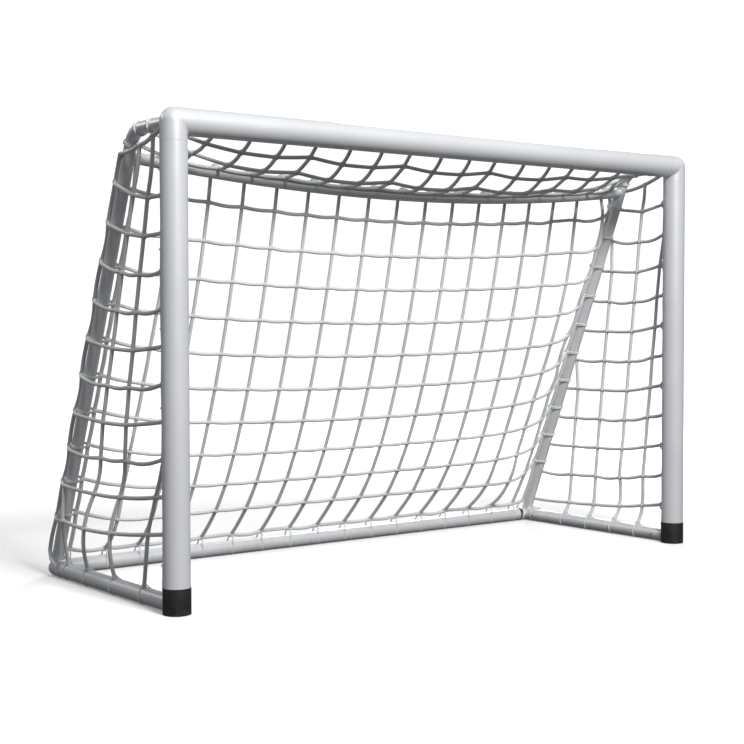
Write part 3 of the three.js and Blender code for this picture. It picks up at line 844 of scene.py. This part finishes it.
def hook_pad(base, along, around):
    """The vertices and faces of a saddle that fits the tube, with a crowned outside."""
    rows, columns = 9, 13
    grid = []
    for layer, lift in ((0, GAP), (1, PAD_PROUD)):
        squeeze = 1 - 0.06 * layer
        for u in np.linspace(-1, 1, rows):
            for v in np.linspace(-1, 1, columns):
                crown = lift * (1 - 0.35 * layer * max(abs(u), abs(v)) ** 8)
                angle = v * PAD_HALF_WIDTH * squeeze / POST_R
                spoke = BACKWARDS * math.cos(angle) + around * math.sin(angle)
                grid.append(base + along * u * PAD_HALF_LENGTH * squeeze + spoke * (POST_R + crown))
    layer_size = rows * columns
    faces = []
    for i in range(rows - 1):
        for j in range(columns - 1):
            a = i * columns + j
            quad = (a, a + 1, a + columns + 1, a + columns)
            faces += [quad[::-1], tuple(corner + layer_size for corner in quad)]
    rim = [*range(columns), *(i * columns + columns - 1 for i in range(1, rows))]
    rim += [(rows - 1) * columns + j for j in range(columns - 2, -1, -1)]
    rim += [i * columns for i in range(rows - 2, 0, -1)]
    faces += [(a, b, b + layer_size, a + layer_size) for a, b in zip(rim, rim[1:] + rim[:1])]
    return grid, faces


def net_hook(node):
    """Builds one hook and returns the centre of its loop."""
    centre = middle(node)
    base = at(centre[0], 0, centre[2])
    upright = "post" in node
    grid, faces = hook_pad(base, *((UP, RIGHTWARDS) if upright else (RIGHTWARDS, UP)))
    shape = Shape()
    shape.add(grid, [face[::-1] for face in faces] if upright else faces)
    loop_centre = base + BACKWARDS * (POST_R + PAD_PROUD) + UP * HOOK_SECTION
    path = [loop_centre + HOOK_R * (math.sin(a) * BACKWARDS - math.cos(a) * UP)
            for a in np.linspace(-0.12, 0.8, 24) * math.pi]
    add_cord(shape, path, HOOK_SECTION * np.sqrt(np.clip(np.linspace(12, 0, 24), 0.05, 1)), 16)
    finish_piece(shape.build(node + "_moulding", PLASTIC), node)
    return loop_centre


HOOKS = {node: net_hook(node) for node in sorted(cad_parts) if "_hook_" in node}

# ---------- The net's cords as nodes and links, hung by gravity ----------

PIECES = 3                        # links between two knots
PASSES, STILLNESS = 8, 0.985      # passes over all links in a step, and the speed kept from step to step
STRAIGHTNESS, FIRMNESS = 0.9995, 0.6
# Steps, and the seconds each lasts: long ones let the net fall, short ones take out the stretch.
HANG_PHASES = ((350, 0.006), (350, 0.003), (500, 0.0015))


class Net:
    """Nodes joined by links that can't stretch, and by stiffeners that resist bending."""

    def __init__(self):
        self.places = []
        self.held = []
        self.links = []
        self.stiffeners = []

    def node(self, place, held=False):
        self.places.append(np.asarray(place, float))
        self.held.append(held)
        return len(self.places) - 1

    def hold(self, places):
        return [self.node(place, held=True) for place in places]

    def cord(self, knots, slack=0.0, lengths=None):
        """Joins knots by links, and returns every node along them. Each stretch between two knots
        is `slack` longer than its straight way, or as long as `lengths` says. Stiffeners keep each
        node and the next but one nearly as far apart as along a straight cord."""
        line, rests = [knots[0]], []
        for i, (a, b) in enumerate(zip(knots, knots[1:])):
            start, way = self.places[a], self.places[b] - self.places[a]
            length = lengths[i] if lengths is not None else np.linalg.norm(way) * (1 + slack)
            line += [self.node(start + way * n / PIECES) for n in range(1, PIECES)] + [b]
            rests += [length / PIECES] * PIECES
        self.links += zip(line, line[1:], rests)
        straight = np.add(rests[:-1], rests[1:]) * STRAIGHTNESS
        self.stiffeners += zip(line, line[2:], straight)
        return line

    def groups(self, links, firmness):
        """Splits links into sets in which no two share a node, each ready to be solved at once."""
        used, sets = {}, {}
        for a, b, length in links:
            colour = 0
            while colour in used.setdefault(a, set()) or colour in used.setdefault(b, set()):
                colour += 1
            used[a].add(colour)
            used[b].add(colour)
            sets.setdefault(colour, []).append((a, b, length))
        weight = np.where(self.held, 0.0, 1.0)
        ready = []
        for colour in sorted(sets):
            a, b, length = (np.array(column) for column in zip(*sets[colour]))
            keep = weight[a] + weight[b] > 0
            a, b, length = a[keep], b[keep], length[keep]
            share = firmness / (weight[a] + weight[b])
            ready.append((a, b, length, (weight[a] * share)[:, None], (weight[b] * share)[:, None]))
        return ready

    def hang(self, steps, seconds):
        """Position-based dynamics in small steps: fall, then pull every link back to its length.
        Stiffeners only push: they keep a cord from kinking, as its own bending stiffness does."""
        x = np.array(self.places)
        previous = x.copy()
        free = np.where(self.held, 0.0, 1.0)[:, None]
        solved = [(group, True) for group in self.groups(self.stiffeners, FIRMNESS)]
        solved += [(group, False) for group in self.groups(self.links, 1.0)]
        fall = np.array((0, 0, -9.81 * seconds * seconds)) * free
        for _ in range(steps):
            moved = (x - previous) * STILLNESS * free
            previous = x.copy()
            x = x + moved + fall
            for _ in range(PASSES):
                for (a, b, length, share_a, share_b), push_only in solved:
                    way = x[b] - x[a]
                    excess = 1 - length / np.sqrt((way * way).sum(1))
                    if push_only:
                        excess = np.minimum(excess, 0)
                    pull = way * excess[:, None]
                    x[a] += share_a * pull
                    x[b] -= share_b * pull
            x = np.where(free > 0, clear_of_ground(x), x)
        self.places = list(x)


def clear_of_ground(x):
    """Moves nodes out of the ground and out of the rear ground bar."""
    x = x.copy()
    x[:, 2] = np.maximum(x[:, 2], CORD_R)
    away = (x - at(0, REAR_Y, GROUND_Z)) * (0, 1, 1)
    distance = np.sqrt((away * away).sum(1))
    reach = GROUND_R + CORD_R
    push = np.where(distance < reach, reach / np.maximum(distance, 1e-6) - 1, 0)
    return x + away * push[:, None]


# The back: columns run down from the rear top bar, rows run from stay to stay.
COLUMN_PITCH = 0.1095
FIRST_COLUMN_X = -0.782
BACK_COLUMNS = 17
BORDER_INSET = 0.0150            # border rope to the stay's inner face
EDGE_X = POST_X - STAY_R - BORDER_INSET
FIRST_ROW, ROW_PITCH, BACK_ROWS = 0.066, 0.0908, 10     # shares of a column's length
COLUMN_SLACK, ROW_SLACK, ROPE_SLACK = 0.015, 0.008, 0.006
BOTTOM_ROPE_Y, BOTTOM_ROPE_Z = REAR_Y - 0.008, GROUND_Z + GROUND_R + 0.020
EDGE_ROWS = ((1.085, 0.0995), (1.121, 0.0993))     # height of the first row at each stay, and the pitch
TOP_ROWS = (0.105, 0.170, 0.222)                   # how far behind the goal line
COLUMN_X = [-EDGE_X] + [FIRST_COLUMN_X + COLUMN_PITCH * k for k in range(BACK_COLUMNS - 1)] + [EDGE_X]
ROPE_Y = POST_R + PAD_PROUD + BORDER_R
CORNER_DROP = 0.011               # from the crossbar's axis to the ropes' ends at the top corners


def over_rear_bar(x):
    """Points of a column where it lies on the rear top bar, from its front to its back."""
    radius = REAR_BAR_R + CORD_R
    centre = at(x, TEE_Y, rear_bar_z(x))
    return [centre + radius * np.array((0, math.sin(a), math.cos(a)))
            for a in np.radians((-50, -15, 20, 55, 90))]


def weave_back_and_top(net):
    """Returns the back and the top, each with its cords, border ropes and knots, and the nodes where
    they are tied to the stays, to the arms and to the rear ground bar."""
    hooks = [place for node, place in HOOKS.items() if node.startswith("crossbar")]
    rope_z = hooks[0][2] - (HOOK_R - HOOK_SECTION - BORDER_R)
    front = [net.node(at(x, ROPE_Y, rope_z), held=any(abs(x - hook[0]) < COLUMN_PITCH / 2 for hook in hooks))
             for x in COLUMN_X]
    for end in (0, BACK_COLUMNS):
        net.places[front[end]] = at(math.copysign(POST_X, COLUMN_X[end]), ROPE_Y, BAR_Z - CORNER_DROP)
        net.held[front[end]] = True
    shares = [FIRST_ROW + ROW_PITCH * j for j in range(BACK_ROWS)] + [1.0]
    crossings, columns, top_columns, top_knots = [], [], [], []
    for k, x in enumerate(COLUMN_X):
        edge = k in (0, BACK_COLUMNS)
        wrap = net.hold(over_rear_bar(x))
        if not edge:
            start, end = net.places[front[k]], net.places[wrap[0]]
            knots = [net.node(start + (end - start) * (y - ROPE_Y) / (end[1] - LINE_Y - ROPE_Y))
                     for y in TOP_ROWS]
            top_columns.append(net.cord([front[k], *knots, wrap[0]], slack=0.004) + wrap[1:])
            top_knots.append(knots)
        start, end = net.places[wrap[-1]], at(x, BOTTOM_ROPE_Y, BOTTOM_ROPE_Z)
        if edge:
            first, pitch = EDGE_ROWS[0 if k == 0 else 1]
            heights = [first - pitch * j for j in range(BACK_ROWS)] + [BOTTOM_ROPE_Z + 0.012]
            places, lengths = [edge_place(x, z) for z in heights], None
        else:
            length = np.linalg.norm(end - start) * (1 + COLUMN_SLACK)
            places = [start + (end - start) * share for share in shares]
            lengths = np.diff([0.0, *shares]) * length
        knots = [net.node(place, held=edge or j == BACK_ROWS) for j, place in enumerate(places)]
        columns.append(net.cord([wrap[-1], *knots], slack=0.002, lengths=lengths))
        crossings.append(knots)
    rows = [net.cord([knots[j] for knots in crossings], slack=ROW_SLACK if j < BACK_ROWS else ROPE_SLACK)
            for j in range(BACK_ROWS + 1)]
    arm_ends = {side: net.hold(arm_tie(side, y) for y in TOP_ROWS) for side in (-1, 1)}
    top_rows = [net.cord([arm_ends[-1][j], *(knots[j] for knots in top_knots), arm_ends[1][j]], slack=0.001)
                for j in range(len(TOP_ROWS))]
    front_rope = net.cord(front, slack=0.0005)
    inner = slice(1, BACK_COLUMNS)
    return {
        "back": {
            "cords": columns[inner] + rows[:-1],
            "ropes": [columns[0], columns[-1], rows[-1]],
            "knots": sum(crossings[inner] + [crossings[0], crossings[-1]], []),
        },
        "top": {
            "cords": top_columns + top_rows,
            "ropes": [front_rope],
            "knots": sum(top_knots, []) + front[1:-1],
        },
        "stay_ties": {-1: crossings[0][:-1], 1: crossings[-1][:-1]},
        "arm_ties": arm_ends,
        "bottom_ties": [knots[-1] for knots in crossings],
    }


def edge_place(x, z):
    """Where the back's side border runs: just inside the stay, level with its axis."""
    place = on_stay(math.copysign(1, x), z)
    place[0] = x
    return place


def arm_tie(side, y):
    """A point on the inner face of the top arm at a distance behind the goal line."""
    path = arm_path(side)
    nearest = path[np.argmin(abs(path[:, 1] - LINE_Y - y))]
    return nearest + np.array((-side * (STAY_R + TIE_R), 0, 0))


# The sides: rows run from a rope behind the post round the outside of the stay. For each end of the rows,
# the height of the first and the pitch. For each column, how far behind the goal line it is at
# SLANT_FROM, and how much nearer a metre higher.
SIDE_NETS = {
    "left": {
        "rows": 10, "post_rows": (1.054, 0.0952), "stay_rows": (1.095, 0.1026),
        "columns": ((0.163, 0.31), (0.328, 0.215), (0.487, 0.30), (0.610, 0.05)),
    },
    "right": {
        "rows": 11, "post_rows": (1.119, 0.0998), "stay_rows": (1.114, 0.1035),
        "columns": ((0.154, 0.10), (0.263, 0.105), (0.379, 0.10), (0.498, 0.10)),
    },
}
STAY_WRAP_R = STAY_R + CORD_R + 0.0008
SLANT_FROM = 0.05
SIDE_SAG = 0.011                  # how far the middle of a side row hangs below its ends
STAY_MARGIN, POST_MARGIN = 0.025, 0.020     # a column so near to the stay or the post ends there
COLUMN_TOP = 1.15                 # height above SLANT_FROM at which the other columns meet the top rope
TOP_ROPE_SLACK = {"left": 0.012, "right": 0.004}


def round_stay(side, z, angle):
    """A point on a cord bent round a stay, 0 degrees being straight outwards and 90 straight behind."""
    turn = math.radians(angle)
    return on_stay(side, z) + STAY_WRAP_R * (side * RIGHTWARDS * math.cos(turn) + BEHIND_STAY * math.sin(turn))


def rear_border(side, z):
    """Where the rope behind a stay runs."""
    return on_stay(side, z) + RIGHTWARDS * side * 0.011 + BEHIND_STAY * 0.027


def rope_round_corner(side):
    """The rear rope's last stretch: over the outside of the base corner, to a tie on the side ground bar."""
    x, over = side * POST_X, GROUND_R + BORDER_R
    return [
        at(x + side * 0.014, REAR_Y + 0.008, GROUND_Z + 0.056),
        at(x + side * over * 0.60, REAR_Y - 0.004, GROUND_Z + over * 1.05),
        at(x + side * over * 0.74, REAR_Y - 0.024, GROUND_Z + over * 0.74),
        at(x + side * over * 0.80, REAR_Y - 0.048, GROUND_Z + over * 0.60),
    ]


def weave_side(net, word):
    """Returns a side's cords, border ropes and knots, the nodes that are tied to its ground bar, and the
    hooks that hold its front rope."""
    side, plan = SIDES[word], SIDE_NETS[word]
    rope_x, stay_x = side * (POST_X + HOOK_SECTION + BORDER_R), side * (POST_X + STAY_WRAP_R)
    post_z, stay_z = ([first - pitch * j for j in range(plan["rows"])]
                      for first, pitch in (plan["post_rows"], plan["stay_rows"]))
    post_nodes = [net.node(at(rope_x, ROPE_Y, z)) for z in post_z]
    stay_nodes = net.hold(round_stay(side, z, -12) for z in stay_z)
    border_nodes = net.hold(rear_border(side, z) for z in stay_z)
    crossings = [[] for _ in post_nodes]
    columns, feet, top_nodes = [], [], []
    for base_y, slope in plan["columns"]:
        feet.append(net.node(at(side * (POST_X + 0.004), base_y, GROUND_Z + GROUND_R + 0.003), held=True))
        line = [feet[-1]]
        for j in reversed(range(plan["rows"])):
            stay_y = net.places[stay_nodes[j]][1] - LINE_Y
            z = (post_z[j] + stay_z[j]) / 2
            for _ in range(4):
                y = base_y - slope * (z - SLANT_FROM)
                share = (y - ROPE_Y) / (stay_y - ROPE_Y)
                z = post_z[j] + (stay_z[j] - post_z[j]) * share - SIDE_SAG * 4 * share * (1 - share)
            if y > stay_y - STAY_MARGIN:
                line.append(stay_nodes[j])
                break
            if y < ROPE_Y + POST_MARGIN:
                line.append(post_nodes[j])
                break
            line.append(net.node(at(rope_x + (stay_x - rope_x) * share, y, z)))
            crossings[j].append(line[-1])
        else:
            line.append(net.node(top_rope_place(side, base_y - slope * COLUMN_TOP)))
            top_nodes.append(line[-1])
        columns.append(net.cord(line))
    rows = []
    for j, crossing in enumerate(crossings):
        inner = sorted(crossing, key=lambda knot: net.places[knot][1])
        row = net.cord([post_nodes[j], *inner, stay_nodes[j]])
        row += net.hold(round_stay(side, stay_z[j], angle) for angle in (15, 42, 66))
        rows.append(row + [border_nodes[j]])
    corner_end = net.node(at(rope_x, ROPE_Y, BAR_Z - CORNER_DROP), held=True)
    tee_end = net.node(tee(side) + np.array((side * (STAY_R + BORDER_R), 0, 0.006)), held=True)
    top_nodes.sort(key=lambda knot: net.places[knot][1])
    top_rope = net.cord([corner_end, *top_nodes, tee_end], slack=TOP_ROPE_SLACK[word])
    lower_end = net.node(at(rope_x, ROPE_Y + 0.004, GROUND_Z + GROUND_R + BORDER_R), held=True)
    holds = [place for node, place in HOOKS.items() if node.startswith(f"{word}_post_hook")]
    for place in holds:
        net.held[min(post_nodes, key=lambda knot: abs(net.places[knot][2] - place[2]))] = True
    post_rope = net.cord([corner_end, *post_nodes, lower_end])
    shoulder = net.node(rear_border(side, TEE_Z - 0.018), held=True)
    rope_end = net.hold(rope_round_corner(side))
    rear_rope = net.cord([tee_end, shoulder, *border_nodes, *rope_end], slack=0.003)
    return {
        "cords": columns + rows,
        "ropes": [top_rope[:-1] + rear_rope, post_rope],
        "knots": sum(crossings, []) + post_nodes + border_nodes + top_nodes + feet,
        "ties": feet + rope_end[-1:],
        "holds": holds,
    }


def top_rope_place(side, y):
    """The side's top border: it hangs from the top corner to the tee, below the top arm."""
    start, end = at(0, ROPE_Y, BAR_Z - CORNER_DROP), tee(side)
    share = (LINE_Y + y - start[1]) / (end[1] - start[1])
    place = start + (end - start) * share
    place[0] = side * (POST_X + STAY_WRAP_R * share)
    return place


net = Net()
woven = weave_back_and_top(net)
side_woven = {word: weave_side(net, word) for word in SIDES}
for steps, seconds in HANG_PHASES:
    net.hang(steps, seconds)
net_places = np.array(net.places)

# ---------- Cords, knots and ties as meshes ----------


def smooth_line(nodes):
    """A smooth path through the nodes, with two points for each link (Catmull-Rom)."""
    p = net_places[nodes]
    p = np.concatenate([[2 * p[0] - p[1]], p, [2 * p[-1] - p[-2]]])
    path = []
    for a, b, c, d in zip(p, p[1:], p[2:], p[3:]):
        for t in (0, 0.5):
            path.append(0.5 * (2 * b + (c - a) * t + (2 * a - 5 * b + 4 * c - d) * t ** 2
                               + (3 * b - a - 3 * c + d) * t ** 3))
    path.append(p[-2])
    return np.array(path)


def cords_mesh(name, lines, radius, material, sides):
    shape = Shape()
    for line in lines:
        add_cord(shape, smooth_line(line), radius, sides)
    return shape.build(name, material, 60)


def directions_at(lines):
    """For each node, the directions of the cords that pass through it."""
    found = {}
    for line in lines:
        for i, node in enumerate(line):
            before, after = line[max(i - 1, 0)], line[min(i + 1, len(line) - 1)]
            found.setdefault(node, []).append(unit(net_places[after] - net_places[before]))
    return found


def add_knot(shape, centre, first, second, size_):
    """Two small loops pulled tight crosswise over a crossing."""
    normal = unit(np.cross(first, second))
    for diagonal in (unit(first + second), unit(first - second)):
        angles = np.linspace(0, 2 * math.pi, 12, endpoint=False)
        ring = [centre + size_ * (math.cos(a) * diagonal + math.sin(a) * normal) for a in angles]
        add_cord(shape, ring, size_ * 0.5, 6, closed=True)


def knots_mesh(name, knots, lines):
    directions = directions_at(lines)
    shape = Shape()
    for knot in knots:
        first, *rest = directions[knot]
        others = [way for way in rest if abs(way @ first) < 0.9]
        second = others[0] if others else unit(np.cross(first, (0.3, 0.2, 1)))
        add_knot(shape, net_places[knot], first, second, CORD_R * 1.08)
    return shape.build(name, CORD, 60)


def sheet_pieces(sheet, part, ropes="ropes"):
    """Builds a sheet's cords, which replace its solid, and its border ropes and knots."""
    cords = cords_mesh(f"{sheet}_cords", part["cords"], CORD_R, CORD, 10)
    others = [cords_mesh(f"{sheet}_{ropes}", part["ropes"], BORDER_R, BORDER, 12),
              knots_mesh(f"{sheet}_knots", part["knots"], part["cords"] + part["ropes"])]
    finish_piece(cords, sheet)
    for piece in others:
        finish_piece(piece)
    return cords, others


def hull(points):
    """The convex hull of flat points, in order (monotone chain)."""
    points = sorted(map(tuple, points))
    chains = []
    for order in (points, points[::-1]):
        chain = []
        for p in order:
            while len(chain) > 1 and np.cross(np.subtract(chain[-1], chain[-2]),
                                              np.subtract(p, chain[-1])) <= 0:
                chain.pop()
            chain.append(p)
        chains.append(chain[:-1])
    return np.array(chains[0] + chains[1])


def tight_loop(circles, clearance, count=36):
    """A closed loop pulled tight round some circles, each (x, y, radius)."""
    angles = np.linspace(0, 2 * math.pi, 40, endpoint=False)
    points = [(x + (r + clearance) * math.cos(a), y + (r + clearance) * math.sin(a))
              for x, y, r in circles for a in angles]
    outline = hull(points)
    outline = np.concatenate([outline, outline[:1]])
    lengths = np.concatenate([[0], np.cumsum(np.linalg.norm(np.diff(outline, axis=0), axis=1))])
    stations = np.linspace(0, lengths[-1], count, endpoint=False)
    return np.stack([np.interp(stations, lengths, outline[:, i]) for i in (0, 1)], 1)


def add_tie(shape, centre, across, up, axis, circles, turns=2, radius=TIE_R):
    """Cord wound round bars that run along `axis`. Circles are in the (across, up) plane at centre."""
    loop = tight_loop(circles, radius)
    for turn in range(turns):
        shift = (turn - (turns - 1) / 2) * radius * 2.05
        path = np.array([centre + across * a + up * b + axis * shift for a, b in loop])
        path[:, 2] = np.maximum(path[:, 2], radius)
        add_cord(shape, path, radius, 8, closed=True)


def tie_net():
    """Builds the ties that hold the net to the stays, the arms, the ground bars and the post hooks."""
    ties = Shape()
    for word, side in SIDES.items():
        outward, arm, rope_x = RIGHTWARDS * side, arm_path(side), HOOK_SECTION + BORDER_R
        for knot in woven["stay_ties"][side]:
            add_tie(ties, on_stay(side, net_places[knot][2]), outward, BEHIND_STAY, UP_STAY,
                    [(0, 0, STAY_R), (-(STAY_R + BORDER_INSET), 0, BORDER_R)])
        for knot in woven["arm_ties"][side]:
            i = int(np.argmin(abs(arm[:, 1] - net_places[knot][1])))
            axis = unit(arm[min(i + 1, len(arm) - 1)] - arm[i - 1])
            add_tie(ties, arm[i], outward, np.cross(axis, outward), axis, [(0, 0, STAY_R)])
        for knot in side_woven[word]["ties"]:
            x, y, z = net_places[knot]
            add_tie(ties, at(side * POST_X, y - LINE_Y, GROUND_Z), RIGHTWARDS, UP, BACKWARDS,
                    [(0, 0, GROUND_R), (x - side * POST_X, z - GROUND_Z, CORD_R)], radius=BAND_R)
        for place in side_woven[word]["holds"]:
            add_tie(ties, at(side * (POST_X + rope_x), ROPE_Y, place[2]), RIGHTWARDS, BACKWARDS, UP,
                    [(0, 0, BORDER_R), (-rope_x * side, 0, HOOK_SECTION)], turns=1)
    for knot in woven["bottom_ties"]:
        x, y, z = net_places[knot]
        add_tie(ties, at(x, REAR_Y, GROUND_Z), BACKWARDS, UP, RIGHTWARDS,
                [(0, 0, GROUND_R), (y - LINE_Y - REAR_Y, z - GROUND_Z, BORDER_R)], radius=BAND_R)
    built = ties.build("net_ties", TIE, 60)
    finish_piece(built)
    return built


def declare(cords, pieces):
    """A net's cords cover only part of their flat size, so the area is the smallest share allowed. This only
    makes a list of the pieces and does nothing more with them.
    """
    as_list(pieces)


back, back_others = sheet_pieces("net_back", woven["back"])
declare(back,
        [*back_others, tie_net()])
top, top_others = sheet_pieces("net_top", woven["top"], "rope")
declare(top, top_others)
for word in SIDES:
    cords, others = sheet_pieces(f"net_{word}", side_woven[word])
    declare(cords, others)

# ---------- Studio: a pale seamless bowl, soft lights ----------

AIR_BELOW, AIR_ABOVE = 0.10, 0.42          # how bright the air is below and above
KEY_POWER, RIM_POWER, BACK_POWER = 410, 34, 110


def studio():
    """A seamless bowl. It gives the object no bounce light, so undersides stay as dark as over turf."""
    flat, bend = 7.0, 3.0
    profile = [(flat + bend * math.sin(a), bend * (1 - math.cos(a))) for a in np.linspace(0, math.pi / 2, 17)]
    profile.append((flat + bend, 9.0))
    sides = 96
    angles = np.linspace(0, 2 * math.pi, sides, endpoint=False)
    vertices = [(r * math.cos(a), r * math.sin(a), z - 0.0002) for r, z in profile for a in angles]
    faces, _ = ring_grid(len(profile), sides, closed=False)
    vertices.append((0, 0, -0.0002))
    faces += [(len(vertices) - 1, j, (j + 1) % sides) for j in range(sides)]
    nodes = Nodes("studio_floor")
    colour = nodes.ramp(nodes.noise(0.6, 3), [(0.3, (0.80, 0.80, 0.80)), (0.7, (0.83, 0.83, 0.83))])
    from_middle = {"Vector": nodes.coordinates.outputs["Object"]}
    distance = nodes.add("VectorMath", links=from_middle, operation="LENGTH")
    glow = nodes.span(distance.outputs["Value"], 0.14, 0.80, 1.4, 4.6)
    nodes.tree.links.new(glow, nodes.shader.inputs["Emission Strength"])
    material = nodes.finish(nodes.bump(nodes.noise(220, 3), 0.03, 0.0005), colour, Roughness=0.9,
                            Emission_Color=(1, 1, 1, 1))
    shape = Shape()
    shape.add(vertices, faces)
    floor = shape.build("studio_floor", material, 60)
    floor.visible_diffuse = False
    floor.visible_glossy = False


def area_light(name, place, target, width, power, colour=(1, 1, 1)):
    data = bpy.data.lights.new(name, "AREA")
    data.shape, data.size, data.energy, data.color = "DISK", width, power, colour
    light = bpy.data.objects.new(name, data)
    light.location = place
    light.rotation_mode = "QUATERNION"
    light.rotation_quaternion = (Vector(target) - Vector(place)).to_track_quat("-Z", "Y")
    bpy.context.scene.collection.objects.link(light)


def lighting():
    """Air that is bright above and dim below, a key light above the goal mouth, and two weak fills."""
    world = bpy.data.worlds.new("studio_air")
    world.use_nodes = True
    tree = world.node_tree
    place = tree.nodes.new("ShaderNodeTexCoord")
    split = tree.nodes.new("ShaderNodeSeparateXYZ")
    ramp = tree.nodes.new("ShaderNodeMapRange")
    ramp.inputs["From Min"].default_value, ramp.inputs["From Max"].default_value = -0.5, 1.0
    ramp.inputs["To Min"].default_value, ramp.inputs["To Max"].default_value = AIR_BELOW, AIR_ABOVE
    tree.links.new(place.outputs["Generated"], split.inputs[0])
    tree.links.new(split.outputs[2], ramp.inputs["Value"])
    tree.links.new(ramp.outputs[0], tree.nodes["Background"].inputs["Strength"])
    bpy.context.scene.world = world
    tree.nodes["Background"].inputs["Color"].default_value = (0.97, 0.985, 1.0, 1)
    area_light("key", (-1.0, -4.7, 4.0), (0, 0, 0.6), 1.5, KEY_POWER, (1.0, 0.995, 0.98))
    area_light("rim", (-3.0, 3.6, 3.2), (-0.6, 0, 0.7), 1.6, RIM_POWER)
    area_light("back", (3.4, 3.0, 2.8), (0.2, 0, 0.6), 1.8, BACK_POWER)
    bpy.context.scene.view_settings.view_transform = "Standard"


studio()
lighting()
